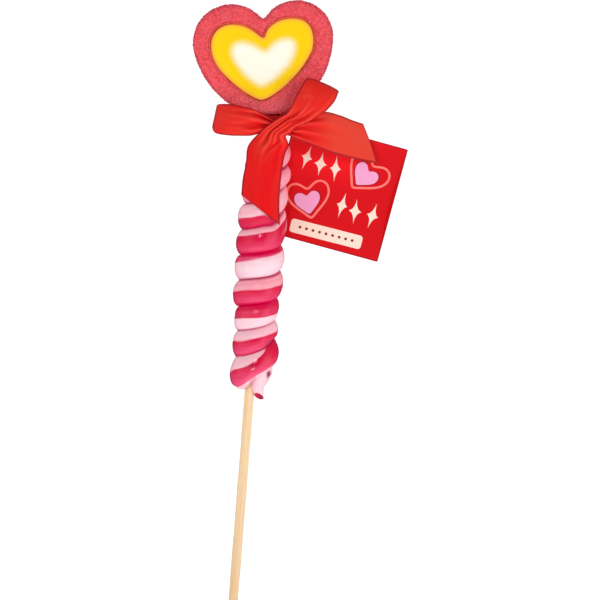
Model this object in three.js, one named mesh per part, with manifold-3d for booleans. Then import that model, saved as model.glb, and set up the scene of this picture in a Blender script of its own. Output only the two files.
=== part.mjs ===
// A marshmallow heart on a wooden stick. Below the heart a rope of twisted hard
// candy is wound round the stick, and a satin ribbon is tied in a bow at the neck,
// with a square card tag hanging from it.
// The whole lies on its back: +Y runs along the stick towards the heart, +X to the
// right as seen from the front, +Z up, out of the front face. Millimetres.
import * as THREE from 'three';
import { mergeVertices } from 'three/addons/utils/BufferGeometryUtils.js';
import Module from 'manifold-3d';

const wasm = await Module();
wasm.setup();

// ---------------------------------------------------------------- dimensions
const DEG = Math.PI / 180;
const GAP = 0.3; // clearance between neighbouring pieces

const STICK = { radius: 2.1, end: -146, inner: 103, height: 11.1, chamfer: 0.4, sides: 20 };

// The rope of candy makes nine turns, a right-handed helix of one start.
const CANDY = {
  lead: 10.93, // along the stick for each turn
  turns: 9,
  extraColumns: 7, // the rope runs on past the last whole turn
  rowsPerTurn: 8,
  columns: 28,
  start: -290 * DEG, // where the lower end of the rope lies, 0 is the front and -90 the left
  firstGroove: -3.033, // in turns
  radiusTop: 10.62,
  radiusLow: 9.95,
  grooveDepth: 2.85,
  ropeHalf: 5.86, // half the rope's breadth along the stick
  dip: 1.3, // the front of each turn sits lower than its back
  stretchFrom: -25, // the lowest turn is drawn out by stretchBy
  stretchBy: 1.24,
  driftX: 1.5, // the lower coils sit off the stick's axis
  driftZ: -1.3,
  driftFrom: 20,
  driftTo: -24,
  endScale: 0.5, // thickness left at the rope's two ends
  lowTaper: 0.3, // share of a turn over which the lower end tapers
  topTaper: 0.2,
  bore: 2.4,
};

// Heart: three nested layers, each outline two round lobes, two long side arcs and a tip.
const HEART = { thickness: 20, turn: 4.4 * DEG, edge: 1.5, stickBore: 2.4 };
const OUTER = {
  centre: [-4.76, 104.43], points: 72,
  left: [-14.01, 5.99], leftRadius: 16.93, right: [13.82, 8.78], rightRadius: 15.92,
  leftSide: 42.52, rightSide: 39.96, tip: [0.37, -28.53], tipBlend: 4.95, notchBlend: 2.26, peaks: [],
};
const MIDDLE = {
  centre: [-5.02, 102.26], points: 60,
  left: [-7.77, 1.66], leftRadius: 10.47, right: [10.79, 8.12], rightRadius: 10.07,
  leftSide: 31.25, rightSide: 46.53, tip: [-0.38, -16.1], tipBlend: 0.83, notchBlend: 4.28,
  peaks: [[1.54, 41.8, 15.5], [6.6, 144.2, 34.7]],
};
const CORE = {
  centre: [-4.31, 101.45], points: 48,
  left: [-2.95, -1.04], leftRadius: 6.5, right: [5.51, 1.16], rightRadius: 4.78,
  leftSide: 15.02, rightSide: 25.83, tip: [-0.88, -9.93], tipBlend: 0.38, notchBlend: 2.95,
  peaks: [[6.54, 41.8, 26.9], [7.25, 148.9, 31.8]],
};

const TAG = {
  side: 50, thickness: 0.4, corner: [0.98, 29.83], turn: -10.9 * DEG,
  lift: 5, // how far the upper edge bends up off the surface
  steps: 8, hole: 2.2, holeInset: 5.4,
};

const RIBBON = { width: 17, thickness: 0.6, cut: 5.7 };
const KNOT = { at: [4.9, 75.6, 20.1], size: [6.0, 4.1, 3.5] };
const NECK = { from: 71.0, to: 78.9, radius: 4.4 };

// ------------------------------------------------------------------- helpers
const clamp = (v, a, b) => Math.min(b, Math.max(a, v));
const smooth = (a, b, v) => { const t = clamp((v - a) / (b - a), 0, 1); return t * t * (3 - 2 * t); };
const lerp = (a, b, t) => a + (b - a) * t;

function solidOf(geometry) {
  let g = geometry.index ? geometry.toNonIndexed() : geometry.clone();
  for (const name of Object.keys(g.attributes)) if (name !== 'position') g.deleteAttribute(name);
  g = mergeVertices(g, 1e-4);
  return new wasm.Manifold(new wasm.Mesh({
    numProp: 3,
    vertProperties: new Float32Array(g.attributes.position.array),
    triVerts: new Uint32Array(g.index.array),
  }));
}

function geometryOf(solid) {
  const mesh = solid.getMesh();
  const g = new THREE.BufferGeometry();
  const positions = new Float32Array(mesh.numVert * 3);
  for (let i = 0; i < mesh.numVert; i++)
    for (let k = 0; k < 3; k++) positions[i * 3 + k] = mesh.vertProperties[i * mesh.numProp + k];
  g.setAttribute('position', new THREE.BufferAttribute(positions, 3));
  g.setIndex(new THREE.BufferAttribute(new Uint32Array(mesh.triVerts), 1));
  g.computeVertexNormals();
  return g;
}

function faces(points, triangles) {
  const g = new THREE.BufferGeometry();
  g.setAttribute('position', new THREE.BufferAttribute(new Float32Array(points.flat()), 3));
  g.setIndex(triangles.flat());
  return g;
}

// Closed skin over rings of equally many points, with a fan over each end.
function loft(rings) {
  const n = rings[0].length;
  const points = rings.flat();
  const tris = [];
  for (let r = 0; r + 1 < rings.length; r++)
    for (let i = 0; i < n; i++) {
      const a = r * n + i, b = r * n + ((i + 1) % n), c = a + n, d = b + n;
      tris.push([a, b, d], [a, d, c]);
    }
  for (const [r, flip] of [[0, true], [rings.length - 1, false]]) {
    const centre = [0, 1, 2].map((k) => rings[r].reduce((s, p) => s + p[k], 0) / n);
    const at = points.push(centre) - 1;
    for (let i = 0; i < n; i++) {
      const a = r * n + i, b = r * n + ((i + 1) % n);
      tris.push(flip ? [b, a, at] : [a, b, at]);
    }
  }
  return faces(points, tris);
}

function rodAlongY(radius, from, to, sides, x = 0, z = STICK.height) {
  const g = new THREE.CylinderGeometry(radius, radius, to - from, sides, 1);
  g.translate(x, (from + to) / 2, z);
  return solidOf(g);
}

// --------------------------------------------------------------------- stick
function stick() {
  const { radius, end, inner, chamfer, sides, height } = STICK;
  const profile = [
    [0, end], [radius - chamfer, end], [radius, end + chamfer],
    [radius, inner - chamfer], [radius - chamfer, inner], [0, inner],
  ].map(([r, y]) => new THREE.Vector2(r, y));
  const g = new THREE.LatheGeometry(profile, sides);
  g.translate(0, 0, height);
  return solidOf(g);
}

// --------------------------------------------------------------------- candy
// Radius of the rope's skin across one ridge, share 0 and 1 are the grooves.
function ridge(share, crest) {
  const { lead, ropeHalf, grooveDepth } = CANDY;
  const edge = Math.sqrt(1 - ((0.5 * lead) / ropeHalf) ** 2);
  const bulge = grooveDepth / (1 - edge);
  const across = ((share - 0.5) * lead) / ropeHalf;
  return crest - bulge + bulge * Math.sqrt(Math.max(0, 1 - across * across));
}

function candyPoint(row, angle, turn) {
  const c = CANDY;
  const share = (row % c.rowsPerTurn) / c.rowsPerTurn;
  const base = c.lead * (c.firstGroove + row / c.rowsPerTurn + angle / (2 * Math.PI));
  const crest = lerp(c.radiusLow, c.radiusTop, smooth(-5, 24, base));
  let r = ridge(share, crest);
  let y = base;
  // both ends of the rope taper towards the neighbouring turn
  const last = c.rowsPerTurn * c.turns;
  const low = row < c.rowsPerTurn ? smooth(0, c.lowTaper, turn) : 1;
  const top = row > last ? smooth(0, c.topTaper, c.extraColumns / c.columns - turn) : 1;
  const scale = lerp(c.endScale, 1, Math.min(low, top));
  const inside = c.bore + 0.8;
  r = inside + (r - inside) * scale;
  if (low < 1) y += (1 - share) * c.lead * (1 - scale) * 0.5;
  if (top < 1) y -= (row - last) / c.rowsPerTurn * c.lead * (1 - scale) * 0.9;
  if (y < c.stretchFrom) y = c.stretchFrom + (y - c.stretchFrom) * c.stretchBy;
  y -= c.dip * Math.cos(angle);
  const drift = smooth(c.driftFrom, c.driftTo, base);
  return [
    r * Math.sin(angle) + c.driftX * drift,
    y,
    STICK.height + r * Math.cos(angle) + c.driftZ * drift,
  ];
}

function candy() {
  const c = CANDY;
  const rows = c.turns * c.rowsPerTurn;
  const cols = c.columns, extra = c.extraColumns;
  const points = [];
  const ids = new Map();
  // the last column of one turn is the first of the next
  const id = (i, j) => {
    const [row, col] = j < cols ? [i, j] : [i + c.rowsPerTurn, j - cols];
    const key = row * cols + col;
    if (!ids.has(key)) {
      const turn = col / cols;
      ids.set(key, points.push(candyPoint(row, c.start + 2 * Math.PI * turn, turn)) - 1);
    }
    return ids.get(key);
  };
  const tris = [];
  for (let i = 0; i < rows + c.rowsPerTurn; i++)
    for (let j = 0; j < (i < rows ? cols : extra); j++) {
      const a = id(i, j), b = id(i, j + 1), d = id(i + 1, j), e = id(i + 1, j + 1);
      tris.push([a, b, e], [a, e, d]);
    }
  const lower = [], upper = [];
  for (let j = 0; j < cols; j++) lower.push(id(0, j));
  for (let i = c.rowsPerTurn; i > 0; i--) lower.push(id(i, 0));
  for (let j = 0; j <= extra; j++) upper.push(id(rows + c.rowsPerTurn, j));
  for (let i = rows + c.rowsPerTurn - 1; i > rows; i--) upper.push(id(i, extra));
  for (let j = extra; j < cols; j++) upper.push(id(rows, j));
  const cap = (loop, y, flip) => {
    const at = points.push([0, y, STICK.height]) - 1;
    loop.forEach((a, k) => {
      const b = loop[(k + 1) % loop.length];
      tris.push(flip ? [b, a, at] : [a, b, at]);
    });
  };
  const middle = (loop) => loop.reduce((s, k) => s + points[k][1], 0) / loop.length;
  cap(lower, middle(lower), true);
  cap(upper, middle(upper), false);
  let body = solidOf(faces(points, tris));
  const sides = 16;
  body = body.subtract(rodAlongY(c.bore / Math.cos(Math.PI / sides), -60, 90, sides));
  // small flat spots where the lowest ridges rest on the surface
  const above = new THREE.BoxGeometry(60, 200, 60);
  above.translate(0, 0, 30);
  return body.intersect(solidOf(above));
}

// --------------------------------------------------------------------- heart
// Distance from an outline's own centre to its edge in the direction of an angle.
function heartRadius(o, angle) {
  const d = [Math.cos(angle), Math.sin(angle)];
  const exit = (c, r) => {
    const b = d[0] * c[0] + d[1] * c[1];
    const q = b * b - (c[0] * c[0] + c[1] * c[1]) + r * r;
    return b + Math.sign(q) * Math.sqrt(Math.abs(q));
  };
  const softMin = (a, b, k) => {
    const m = Math.min(a, b);
    return m - k * Math.log(Math.exp(-(a - m) / k) + Math.exp(-(b - m) / k));
  };
  // centre of the big circle that touches a lobe from outside and passes through the tip
  const sideCentre = (lobe, r, R, sign) => {
    const a = R - r, dx = o.tip[0] - lobe[0], dy = o.tip[1] - lobe[1];
    const far = Math.hypot(dx, dy), ex = dx / far, ey = dy / far;
    const x = (a * a - R * R + far * far) / (2 * far);
    const h = Math.sqrt(Math.max(a * a - x * x, 0));
    const p = [lobe[0] + ex * x - ey * h, lobe[1] + ey * x + ex * h];
    const q = [lobe[0] + ex * x + ey * h, lobe[1] + ey * x - ex * h];
    return (p[0] - q[0]) * sign > 0 ? p : q;
  };
  const sl = sideCentre(o.left, o.leftRadius, o.leftSide, 1);
  const sr = sideCentre(o.right, o.rightRadius, o.rightSide, -1);
  const touch = (lobe, r, s) => {
    const l = Math.hypot(lobe[0] - s[0], lobe[1] - s[1]);
    return Math.atan2(lobe[1] + ((lobe[1] - s[1]) / l) * r, lobe[0] + ((lobe[0] - s[0]) / l) * r);
  };
  const wrap = (t) => ((t % (2 * Math.PI)) + 2 * Math.PI) % (2 * Math.PI);
  const past = (t) => (wrap(t) < Math.PI / 2 ? wrap(t) + 2 * Math.PI : wrap(t));
  const at = past(angle), from = wrap(touch(o.left, o.leftRadius, sl));
  let to = wrap(touch(o.right, o.rightRadius, sr));
  if (to < Math.PI) to += 2 * Math.PI;
  let r = at > from && at < to
    ? softMin(exit(sl, o.leftSide), exit(sr, o.rightSide), o.tipBlend)
    : -softMin(-exit(o.left, o.leftRadius), -exit(o.right, o.rightRadius), o.notchBlend);
  for (const [height, where, breadth] of o.peaks) {
    const off = ((((angle / DEG - where + 180) % 360) + 360) % 360) - 180;
    r += height * Math.exp(-((off / breadth) ** 2));
  }
  return r;
}

function heartRing(o, z, inset) {
  const ring = [];
  const c = Math.cos(HEART.turn), s = Math.sin(HEART.turn);
  for (let i = 0; i < o.points; i++) {
    const angle = (2 * Math.PI * i) / o.points;
    const r = heartRadius(o, angle) - inset;
    const x = r * Math.cos(angle), y = r * Math.sin(angle);
    ring.push([o.centre[0] + x * c - y * s, o.centre[1] + x * s + y * c, z]);
  }
  return ring;
}

function heartSlab(o, inset, edge, from = 0, to = HEART.thickness) {
  const rings = edge
    ? [heartRing(o, from, inset + edge), heartRing(o, from + edge * 0.3, inset + edge * 0.3),
       heartRing(o, from + edge, inset), heartRing(o, to - edge, inset),
       heartRing(o, to - edge * 0.3, inset + edge * 0.3), heartRing(o, to, inset + edge)]
    : [heartRing(o, from, inset), heartRing(o, to, inset)];
  return solidOf(loft(rings));
}

function hearts() {
  const sides = 16;
  const bore = rodAlongY(HEART.stickBore / Math.cos(Math.PI / sides), 60, STICK.inner + GAP, sides);
  const cutter = (o) => heartSlab(o, -GAP / 2, 0, -5, HEART.thickness + 5);
  return {
    outer: heartSlab(OUTER, 0, HEART.edge).subtract(cutter(MIDDLE)).subtract(bore),
    middle: heartSlab(MIDDLE, GAP / 2, 0).subtract(cutter(CORE)).subtract(bore),
    core: heartSlab(CORE, GAP / 2, 0).subtract(bore),
  };
}

// ----------------------------------------------------------------------- tag
// Height of the card's underside, the lower edge lies flat and the upper edge is lifted.
const tagHeight = (share) => TAG.lift * share * share;

function tag() {
  const { side, thickness, corner, turn, steps, hole, holeInset } = TAG;
  const right = [Math.cos(turn), Math.sin(turn)], up = [-Math.sin(turn), Math.cos(turn)];
  const place = (a, b, z) => [
    corner[0] + right[0] * a + up[0] * b, corner[1] + right[1] * a + up[1] * b, z,
  ];
  const rings = [];
  for (let i = 0; i <= steps; i++) {
    const share = i / steps, b = share * side * 0.996, z = tagHeight(share);
    rings.push([place(0, b, z), place(0, b, z + thickness), place(side, b, z + thickness), place(side, b, z)]);
  }
  const card = solidOf(loft(rings));
  const punch = new THREE.CylinderGeometry(hole, hole, 30, 16);
  punch.rotateX(Math.PI / 2);
  const [x, y] = place(holeInset, side - holeInset, 0);
  punch.translate(x, y, 4);
  return { card: card.subtract(solidOf(punch)), hole: [x, y] };
}

// -------------------------------------------------------------------- ribbon
// A flat band along a curve. breadth(s) is half its width, across(s) the direction of
// its width, slant(s) shears its end cut and camber(s) lets its edges hang.
function band({ through, across, breadth, slant = () => 0, camber = () => 0, steps }) {
  const curve = new THREE.CatmullRomCurve3(through.map((p) => new THREE.Vector3(...p)), false, 'centripetal');
  const rings = [];
  const places = [-1, -0.5, 0, 0.5, 1];
  for (let i = 0; i <= steps; i++) {
    const s = i / steps;
    const c = curve.getPointAt(s), t = curve.getTangentAt(s);
    const w = new THREE.Vector3(...across(s)).normalize();
    const n = new THREE.Vector3().crossVectors(w, t).normalize();
    const point = (k, side) => c.clone()
      .addScaledVector(w, breadth(s) * k)
      .addScaledVector(t, slant(s) * k)
      .addScaledVector(n, (side * RIBBON.thickness) / 2 - camber(s) * k * k)
      .toArray();
    rings.push([...places.map((k) => point(k, 1)), ...places.slice().reverse().map((k) => point(k, -1))]);
  }
  return solidOf(loft(rings));
}

const half = RIBBON.width / 2;
const mix3 = (a, b, t) => a.map((v, k) => lerp(v, b[k], t));

// Tail over the front of the candy, with a slanting end.
const leftTail = {
  through: [[4.2, 76.2, 20.4], [1.0, 70.6, 22.6], [-1.3, 63, 22.7], [-1.7, 52, 22.6], [-1.3, 38.8, 22.7]],
  across: () => [1, 0.02, 0],
  breadth: (s) => lerp(3.4, half - 0.2, smooth(0, 0.24, s)),
  slant: (s) => RIBBON.cut * smooth(0.55, 1, s),
  camber: (s) => 1.1 * smooth(0.05, 0.4, s),
  steps: 12,
};

// Tail that comes down over the card.
const rightTail = {
  through: [[6.4, 75.4, 20.0], [12, 76.2, 21.4], [20, 75.7, 18.6], [31, 73.1, 12.6], [43.2, 71.1, 7.4]],
  across: (s) => mix3([0.2, 1, 0], [0.31, 0.95, 0], s),
  breadth: (s) => lerp(3.4, half - 0.1, smooth(0, 0.22, s)),
  slant: (s) => -RIBBON.cut * smooth(0.5, 1, s),
  camber: () => 0.3,
  steps: 12,
};

// Loop to the left: out along the front, round, and back behind. Its upper edge stands
// out over the heart's face.
const leftLoop = {
  through: [[3.4, 76.4, 21.6], [-5, 77.2, 24.2], [-14, 77.2, 25.4], [-22.2, 76.9, 24.6], [-24.9, 76.6, 21.8],
    [-21.5, 76.6, 19.4], [-12, 76.6, 18.6], [-4, 76.2, 18.4], [3.0, 75.6, 18.8]],
  across: (s) => mix3([0.05, 1, 0.35], [0.12, 0.66, 0.74], Math.sin(Math.PI * s) ** 0.7),
  breadth: (s) => lerp(3.0, half - 0.2, Math.min(smooth(0, 0.3, s), smooth(1, 0.7, s))),
  steps: 18,
};

// Loop to the upper right, over the edge of the heart.
const rightLoop = {
  through: [[6.2, 77.4, 21.6], [10.2, 81.2, 25.0], [15.6, 87.6, 26.8], [20.4, 92.8, 26.4], [22.2, 94.8, 24.6],
    [20.2, 92.4, 22.9], [15.0, 87.0, 22.6], [9.6, 80.9, 21.9], [6.0, 77.0, 19.4]],
  across: (s) => mix3([0.82, -0.56, -0.1], [0.86, -0.36, -0.36], Math.sin(Math.PI * s)),
  breadth: (s) => lerp(3.0, half - 0.2, Math.min(smooth(0, 0.3, s), smooth(1, 0.7, s))),
  steps: 18,
};

function ribbon(hole) {
  const knot = new THREE.SphereGeometry(1, 14, 10);
  knot.scale(...KNOT.size);
  knot.translate(...KNOT.at);
  const stem = new THREE.CylinderGeometry(2.4, 2.4, 7, 10);
  stem.rotateX(Math.PI / 2);
  stem.translate(3.4, 75.4, 16.2);
  // the strand that holds the card: down through its hole, under its edge and back up
  const strandCurve = new THREE.CatmullRomCurve3([
    [5.4, 76.0, 18.0], [11.6, 75.0, 12.0], [hole[0], hole[1], 5.4], [hole[0] - 0.7, hole[1] + 0.3, 2.0],
    [hole[0] - 5.2, hole[1] + 0.8, 1.9], [7.0, 75.2, 5.2], [5.6, 76.2, 11.0], [4.6, 76.2, 17.0],
  ].map((p) => new THREE.Vector3(...p)));
  const round = new THREE.Shape();
  round.absarc(0, 0, 0.9, 0, 2 * Math.PI);
  const strand = new THREE.ExtrudeGeometry(round, {
    steps: 26, curveSegments: 4, extrudePath: strandCurve, bevelEnabled: false,
  });
  let all = solidOf(knot)
    .add(rodAlongY(NECK.radius, NECK.from, NECK.to, 16))
    .add(solidOf(stem))
    .add(solidOf(strand));
  for (const piece of [leftTail, rightTail, leftLoop, rightLoop]) all = all.add(band(piece));
  const sides = 16;
  return all.subtract(rodAlongY(HEART.stickBore / Math.cos(Math.PI / sides), 50, 110, sides));
}

// ------------------------------------------------------------------- assembly
const paint = (color, roughness) => new THREE.MeshStandardMaterial({ color, roughness, metalness: 0 });
const { outer, middle, core } = hearts();
const { card, hole } = tag();

const pieces = [
  ['stick', stick(), paint(0xf2d9a6, 0.7)],
  ['candy_twist', candy(), paint(0xe0356f, 0.15)],
  ['heart_outer', outer, paint(0xe0485a, 0.85)],
  ['heart_middle', middle, paint(0xfcd116, 0.8)],
  ['heart_core', core, paint(0xfffaf0, 0.8)],
  ['ribbon_bow', ribbon(hole), paint(0xe2181f, 0.4)],
  ['gift_tag', card, paint(0xdd1c22, 0.5)],
];

const group = new THREE.Group();
for (const [name, solid, material] of pieces) {
  const mesh = new THREE.Mesh(geometryOf(solid), material);
  mesh.name = name;
  group.add(mesh);
}

// Origin: on the surface below the middle of the whole.
const box = new THREE.Box3().setFromObject(group);
group.position.set(-(box.min.x + box.max.x) / 2, -(box.min.y + box.max.y) / 2, -box.min.z);
group.updateMatrixWorld(true);

export default group;
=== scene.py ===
"""A marshmallow heart lollipop with a twisted candy coil, a satin bow and a card tag,
lying on its back under a soft studio light and seen from above."""

import math

import bpy
import numpy as np
from mathutils import Matrix, Vector, geometry, noise


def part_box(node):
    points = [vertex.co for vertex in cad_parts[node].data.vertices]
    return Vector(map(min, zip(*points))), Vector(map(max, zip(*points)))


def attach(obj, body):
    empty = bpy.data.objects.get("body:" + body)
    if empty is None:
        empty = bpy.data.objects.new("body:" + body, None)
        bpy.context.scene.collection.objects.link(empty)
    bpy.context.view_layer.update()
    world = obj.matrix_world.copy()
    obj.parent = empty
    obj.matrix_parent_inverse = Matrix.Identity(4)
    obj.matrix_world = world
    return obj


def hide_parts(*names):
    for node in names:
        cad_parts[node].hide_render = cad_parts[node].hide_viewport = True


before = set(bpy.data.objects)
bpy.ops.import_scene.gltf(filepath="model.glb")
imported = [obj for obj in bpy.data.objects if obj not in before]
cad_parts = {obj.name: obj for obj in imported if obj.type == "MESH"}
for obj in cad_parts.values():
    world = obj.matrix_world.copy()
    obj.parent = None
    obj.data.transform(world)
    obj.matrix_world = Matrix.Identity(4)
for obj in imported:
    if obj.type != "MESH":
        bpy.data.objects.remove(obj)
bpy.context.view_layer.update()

scene = bpy.context.scene
rng = np.random.default_rng(20623)

# ------------------------------------------------------------------ the model's own frame
# Lengths below are millimetres along the axes of the model: x to the right and y along the
# stick, both from the stick's axis, z up from the surface. SHIFT carries them to the row.
_lo, _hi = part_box("stick")
STICK_END = -146.0
SHIFT = np.array([(_lo[0] + _hi[0]) / 2 * 1000, _lo[1] * 1000 - STICK_END, 0.0])
AXIS_Z = (_lo[2] + _hi[2]) / 2 * 1000
TILT = math.radians(4.4)  # the photo shows the sweet turned by this much


def clamp01(v):
    return np.clip(v, 0.0, 1.0)


def smooth(a, b, v):
    t = clamp01((np.asarray(v, float) - a) / (b - a))
    return t * t * (3 - 2 * t)


def lerp(a, b, t):
    return a + (b - a) * t


def unit(v):
    v = np.asarray(v, float)
    return v / np.maximum(np.linalg.norm(v, axis=-1, keepdims=True), 1e-12)


def to_row(points):
    """Model millimetres to row metres."""
    return (np.asarray(points, float) + SHIFT) / 1000.0


def make_object(name, points, faces, smooth_faces=True, attributes=None, materials=(), face_materials=None):
    mesh = bpy.data.meshes.new(name)
    mesh.from_pydata(to_row(points).tolist(), [], [list(map(int, f)) for f in faces])
    mesh.validate(clean_customdata=False)
    if smooth_faces:
        mesh.polygons.foreach_set("use_smooth", [True] * len(mesh.polygons))
    for key, values in (attributes or {}).items():
        values = np.asarray(values, np.float32)
        if values.ndim == 1:
            layer = mesh.attributes.new(key, "FLOAT", "POINT")
            layer.data.foreach_set("value", values)
        else:
            layer = mesh.attributes.new(key, "FLOAT_VECTOR", "POINT")
            layer.data.foreach_set("vector", values.ravel())
    for material in materials:
        mesh.materials.append(material)
    if face_materials is not None:
        mesh.polygons.foreach_set("material_index", np.asarray(face_materials, np.int32))
    if smooth_faces:
        mesh.set_sharp_from_angle(angle=math.radians(52))
    mesh.update()
    obj = bpy.data.objects.new(name, mesh)
    scene.collection.objects.link(obj)
    return obj


def grid_faces(rows, cols, wrap_rows=False, wrap_cols=False, start=0, flip=False):
    """Quads over a grid of points stored row by row."""
    faces = []
    for i in range(rows if wrap_rows else rows - 1):
        for j in range(cols if wrap_cols else cols - 1):
            a = start + i * cols + j
            b = start + i * cols + (j + 1) % cols
            c = start + ((i + 1) % rows) * cols + (j + 1) % cols
            d = start + ((i + 1) % rows) * cols + j
            faces.append((a, d, c, b) if flip else (a, b, c, d))
    return faces


def catmull(points, count, closed=False):
    """Evenly spaced points on a centripetal Catmull-Rom curve, with its tangents."""
    p = [np.asarray(q, float) for q in points]
    p = [p[0] * 2 - p[1]] + p + [p[-1] * 2 - p[-2]]
    dense = []
    for i in range(1, len(p) - 2):
        p0, p1, p2, p3 = p[i - 1], p[i], p[i + 1], p[i + 2]
        t0 = 0.0
        t1 = t0 + np.linalg.norm(p1 - p0) ** 0.5
        t2 = t1 + np.linalg.norm(p2 - p1) ** 0.5
        t3 = t2 + np.linalg.norm(p3 - p2) ** 0.5
        for t in np.linspace(t1, t2, 40, endpoint=False):
            a1 = (t1 - t) / (t1 - t0) * p0 + (t - t0) / (t1 - t0) * p1
            a2 = (t2 - t) / (t2 - t1) * p1 + (t - t1) / (t2 - t1) * p2
            a3 = (t3 - t) / (t3 - t2) * p2 + (t - t2) / (t3 - t2) * p3
            b1 = (t2 - t) / (t2 - t0) * a1 + (t - t0) / (t2 - t0) * a2
            b2 = (t3 - t) / (t3 - t1) * a2 + (t - t1) / (t3 - t1) * a3
            dense.append((t2 - t) / (t2 - t1) * b1 + (t - t1) / (t2 - t1) * b2)
    dense.append(p[-2])
    dense = np.array(dense)
    run = np.concatenate([[0], np.cumsum(np.linalg.norm(np.diff(dense, axis=0), axis=1))])
    want = np.linspace(0, run[-1], count)
    out = np.stack([np.interp(want, run, dense[:, k]) for k in range(3)], axis=1)
    tangents = unit(np.gradient(out, axis=0))
    return out, tangents, run[-1]


# ------------------------------------------------------------------------------ materials
def new_material(name):
    material = bpy.data.materials.new(name)
    material.use_nodes = True
    tree = material.node_tree
    shader = next(n for n in tree.nodes if n.type == "BSDF_PRINCIPLED")
    return material, tree, shader


def add(tree, kind, **values):
    node = tree.nodes.new(kind)
    for key, value in values.items():
        if key.startswith("in_"):
            node.inputs[key[3:].replace("_", " ")].default_value = value
        else:
            setattr(node, key, value)
    return node


def attribute(tree, name):
    node = tree.nodes.new("ShaderNodeAttribute")
    node.attribute_name = name
    return node


def srgb(r, g, b):
    def one(v):
        v /= 255.0
        return v / 12.92 if v <= 0.04045 else ((v + 0.055) / 1.055) ** 2.4
    return (one(r), one(g), one(b), 1.0)


def ramp(tree, value, stops, interpolation="LINEAR"):
    node = tree.nodes.new("ShaderNodeValToRGB")
    node.color_ramp.interpolation = interpolation
    elements = node.color_ramp.elements
    while len(elements) > len(stops):
        elements.remove(elements[-1])
    while len(elements) < len(stops):
        elements.new(1.0)
    for element, (place, colour) in zip(elements, stops):
        element.position = place
        element.color = colour
    tree.links.new(value, node.inputs["Fac"])
    return node.outputs["Color"]


def calc(tree, operation, a, b=None, c=None, clamp=False):
    node = tree.nodes.new("ShaderNodeMath")
    node.operation = operation
    node.use_clamp = clamp
    for k, value in enumerate((a, b, c)):
        if value is None:
            continue
        if isinstance(value, (int, float)):
            node.inputs[k].default_value = value
        else:
            tree.links.new(value, node.inputs[k])
    return node.outputs[0]


def blend(tree, factor, a, b, mode="MIX"):
    node = tree.nodes.new("ShaderNodeMix")
    node.data_type = "RGBA"
    node.blend_type = mode
    for socket, value in ((node.inputs[0], factor), (node.inputs[6], a), (node.inputs[7], b)):
        if isinstance(value, (int, float, tuple)):
            socket.default_value = value
        else:
            tree.links.new(value, socket)
    return node.outputs[2]


def noise_tex(tree, vector, scale, detail=2.0, roughness=0.5, distortion=0.0):
    node = tree.nodes.new("ShaderNodeTexNoise")
    node.inputs["Scale"].default_value = scale
    node.inputs["Detail"].default_value = detail
    node.inputs["Roughness"].default_value = roughness
    node.inputs["Distortion"].default_value = distortion
    if vector is not None:
        tree.links.new(vector, node.inputs["Vector"])
    return node.outputs["Fac"]


def scaled(tree, vector, x, y, z):
    node = tree.nodes.new("ShaderNodeVectorMath")
    node.operation = "MULTIPLY"
    tree.links.new(vector, node.inputs[0])
    node.inputs[1].default_value = (x, y, z)
    return node.outputs[0]


def bump(tree, shader, height, strength, distance):
    node = tree.nodes.new("ShaderNodeBump")
    node.inputs["Strength"].default_value = strength
    node.inputs["Distance"].default_value = distance
    tree.links.new(height, node.inputs["Height"])
    tree.links.new(node.outputs["Normal"], shader.inputs["Normal"])
    return node


def object_vector(tree):
    return tree.nodes.new("ShaderNodeTexCoord").outputs["Object"]


# ------------------------------------------------------------------------- camera, light
VIEW = {"centre": (18.69, 1.44), "across": 258.0, "height": 6000.0}


def set_camera():
    data = bpy.data.cameras.new("camera")
    cam = bpy.data.objects.new("camera", data)
    scene.collection.objects.link(cam)
    x, y, _ = to_row((VIEW["centre"][0], VIEW["centre"][1], 0))
    cam.location = (x, y, (VIEW["height"] + AXIS_Z) / 1000)
    cam.rotation_euler = (0, 0, TILT)
    data.sensor_width = 36
    data.sensor_fit = "HORIZONTAL"
    data.lens = 36 * VIEW["height"] / VIEW["across"]
    data.clip_start = 0.05
    data.clip_end = 20
    scene.camera = cam


def soft_light(name, place, target, size, watts, colour=(1, 1, 1), size_y=None):
    data = bpy.data.lights.new(name, "AREA")
    data.energy = watts
    data.color = colour
    data.shape = "RECTANGLE" if size_y else "DISK"
    data.size = size
    if size_y:
        data.size_y = size_y
    lamp = bpy.data.objects.new(name, data)
    lamp.location = place
    direction = Vector(target) - Vector(place)
    lamp.rotation_euler = direction.to_track_quat("-Z", "Y").to_euler()
    scene.collection.objects.link(lamp)
    return lamp


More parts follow.
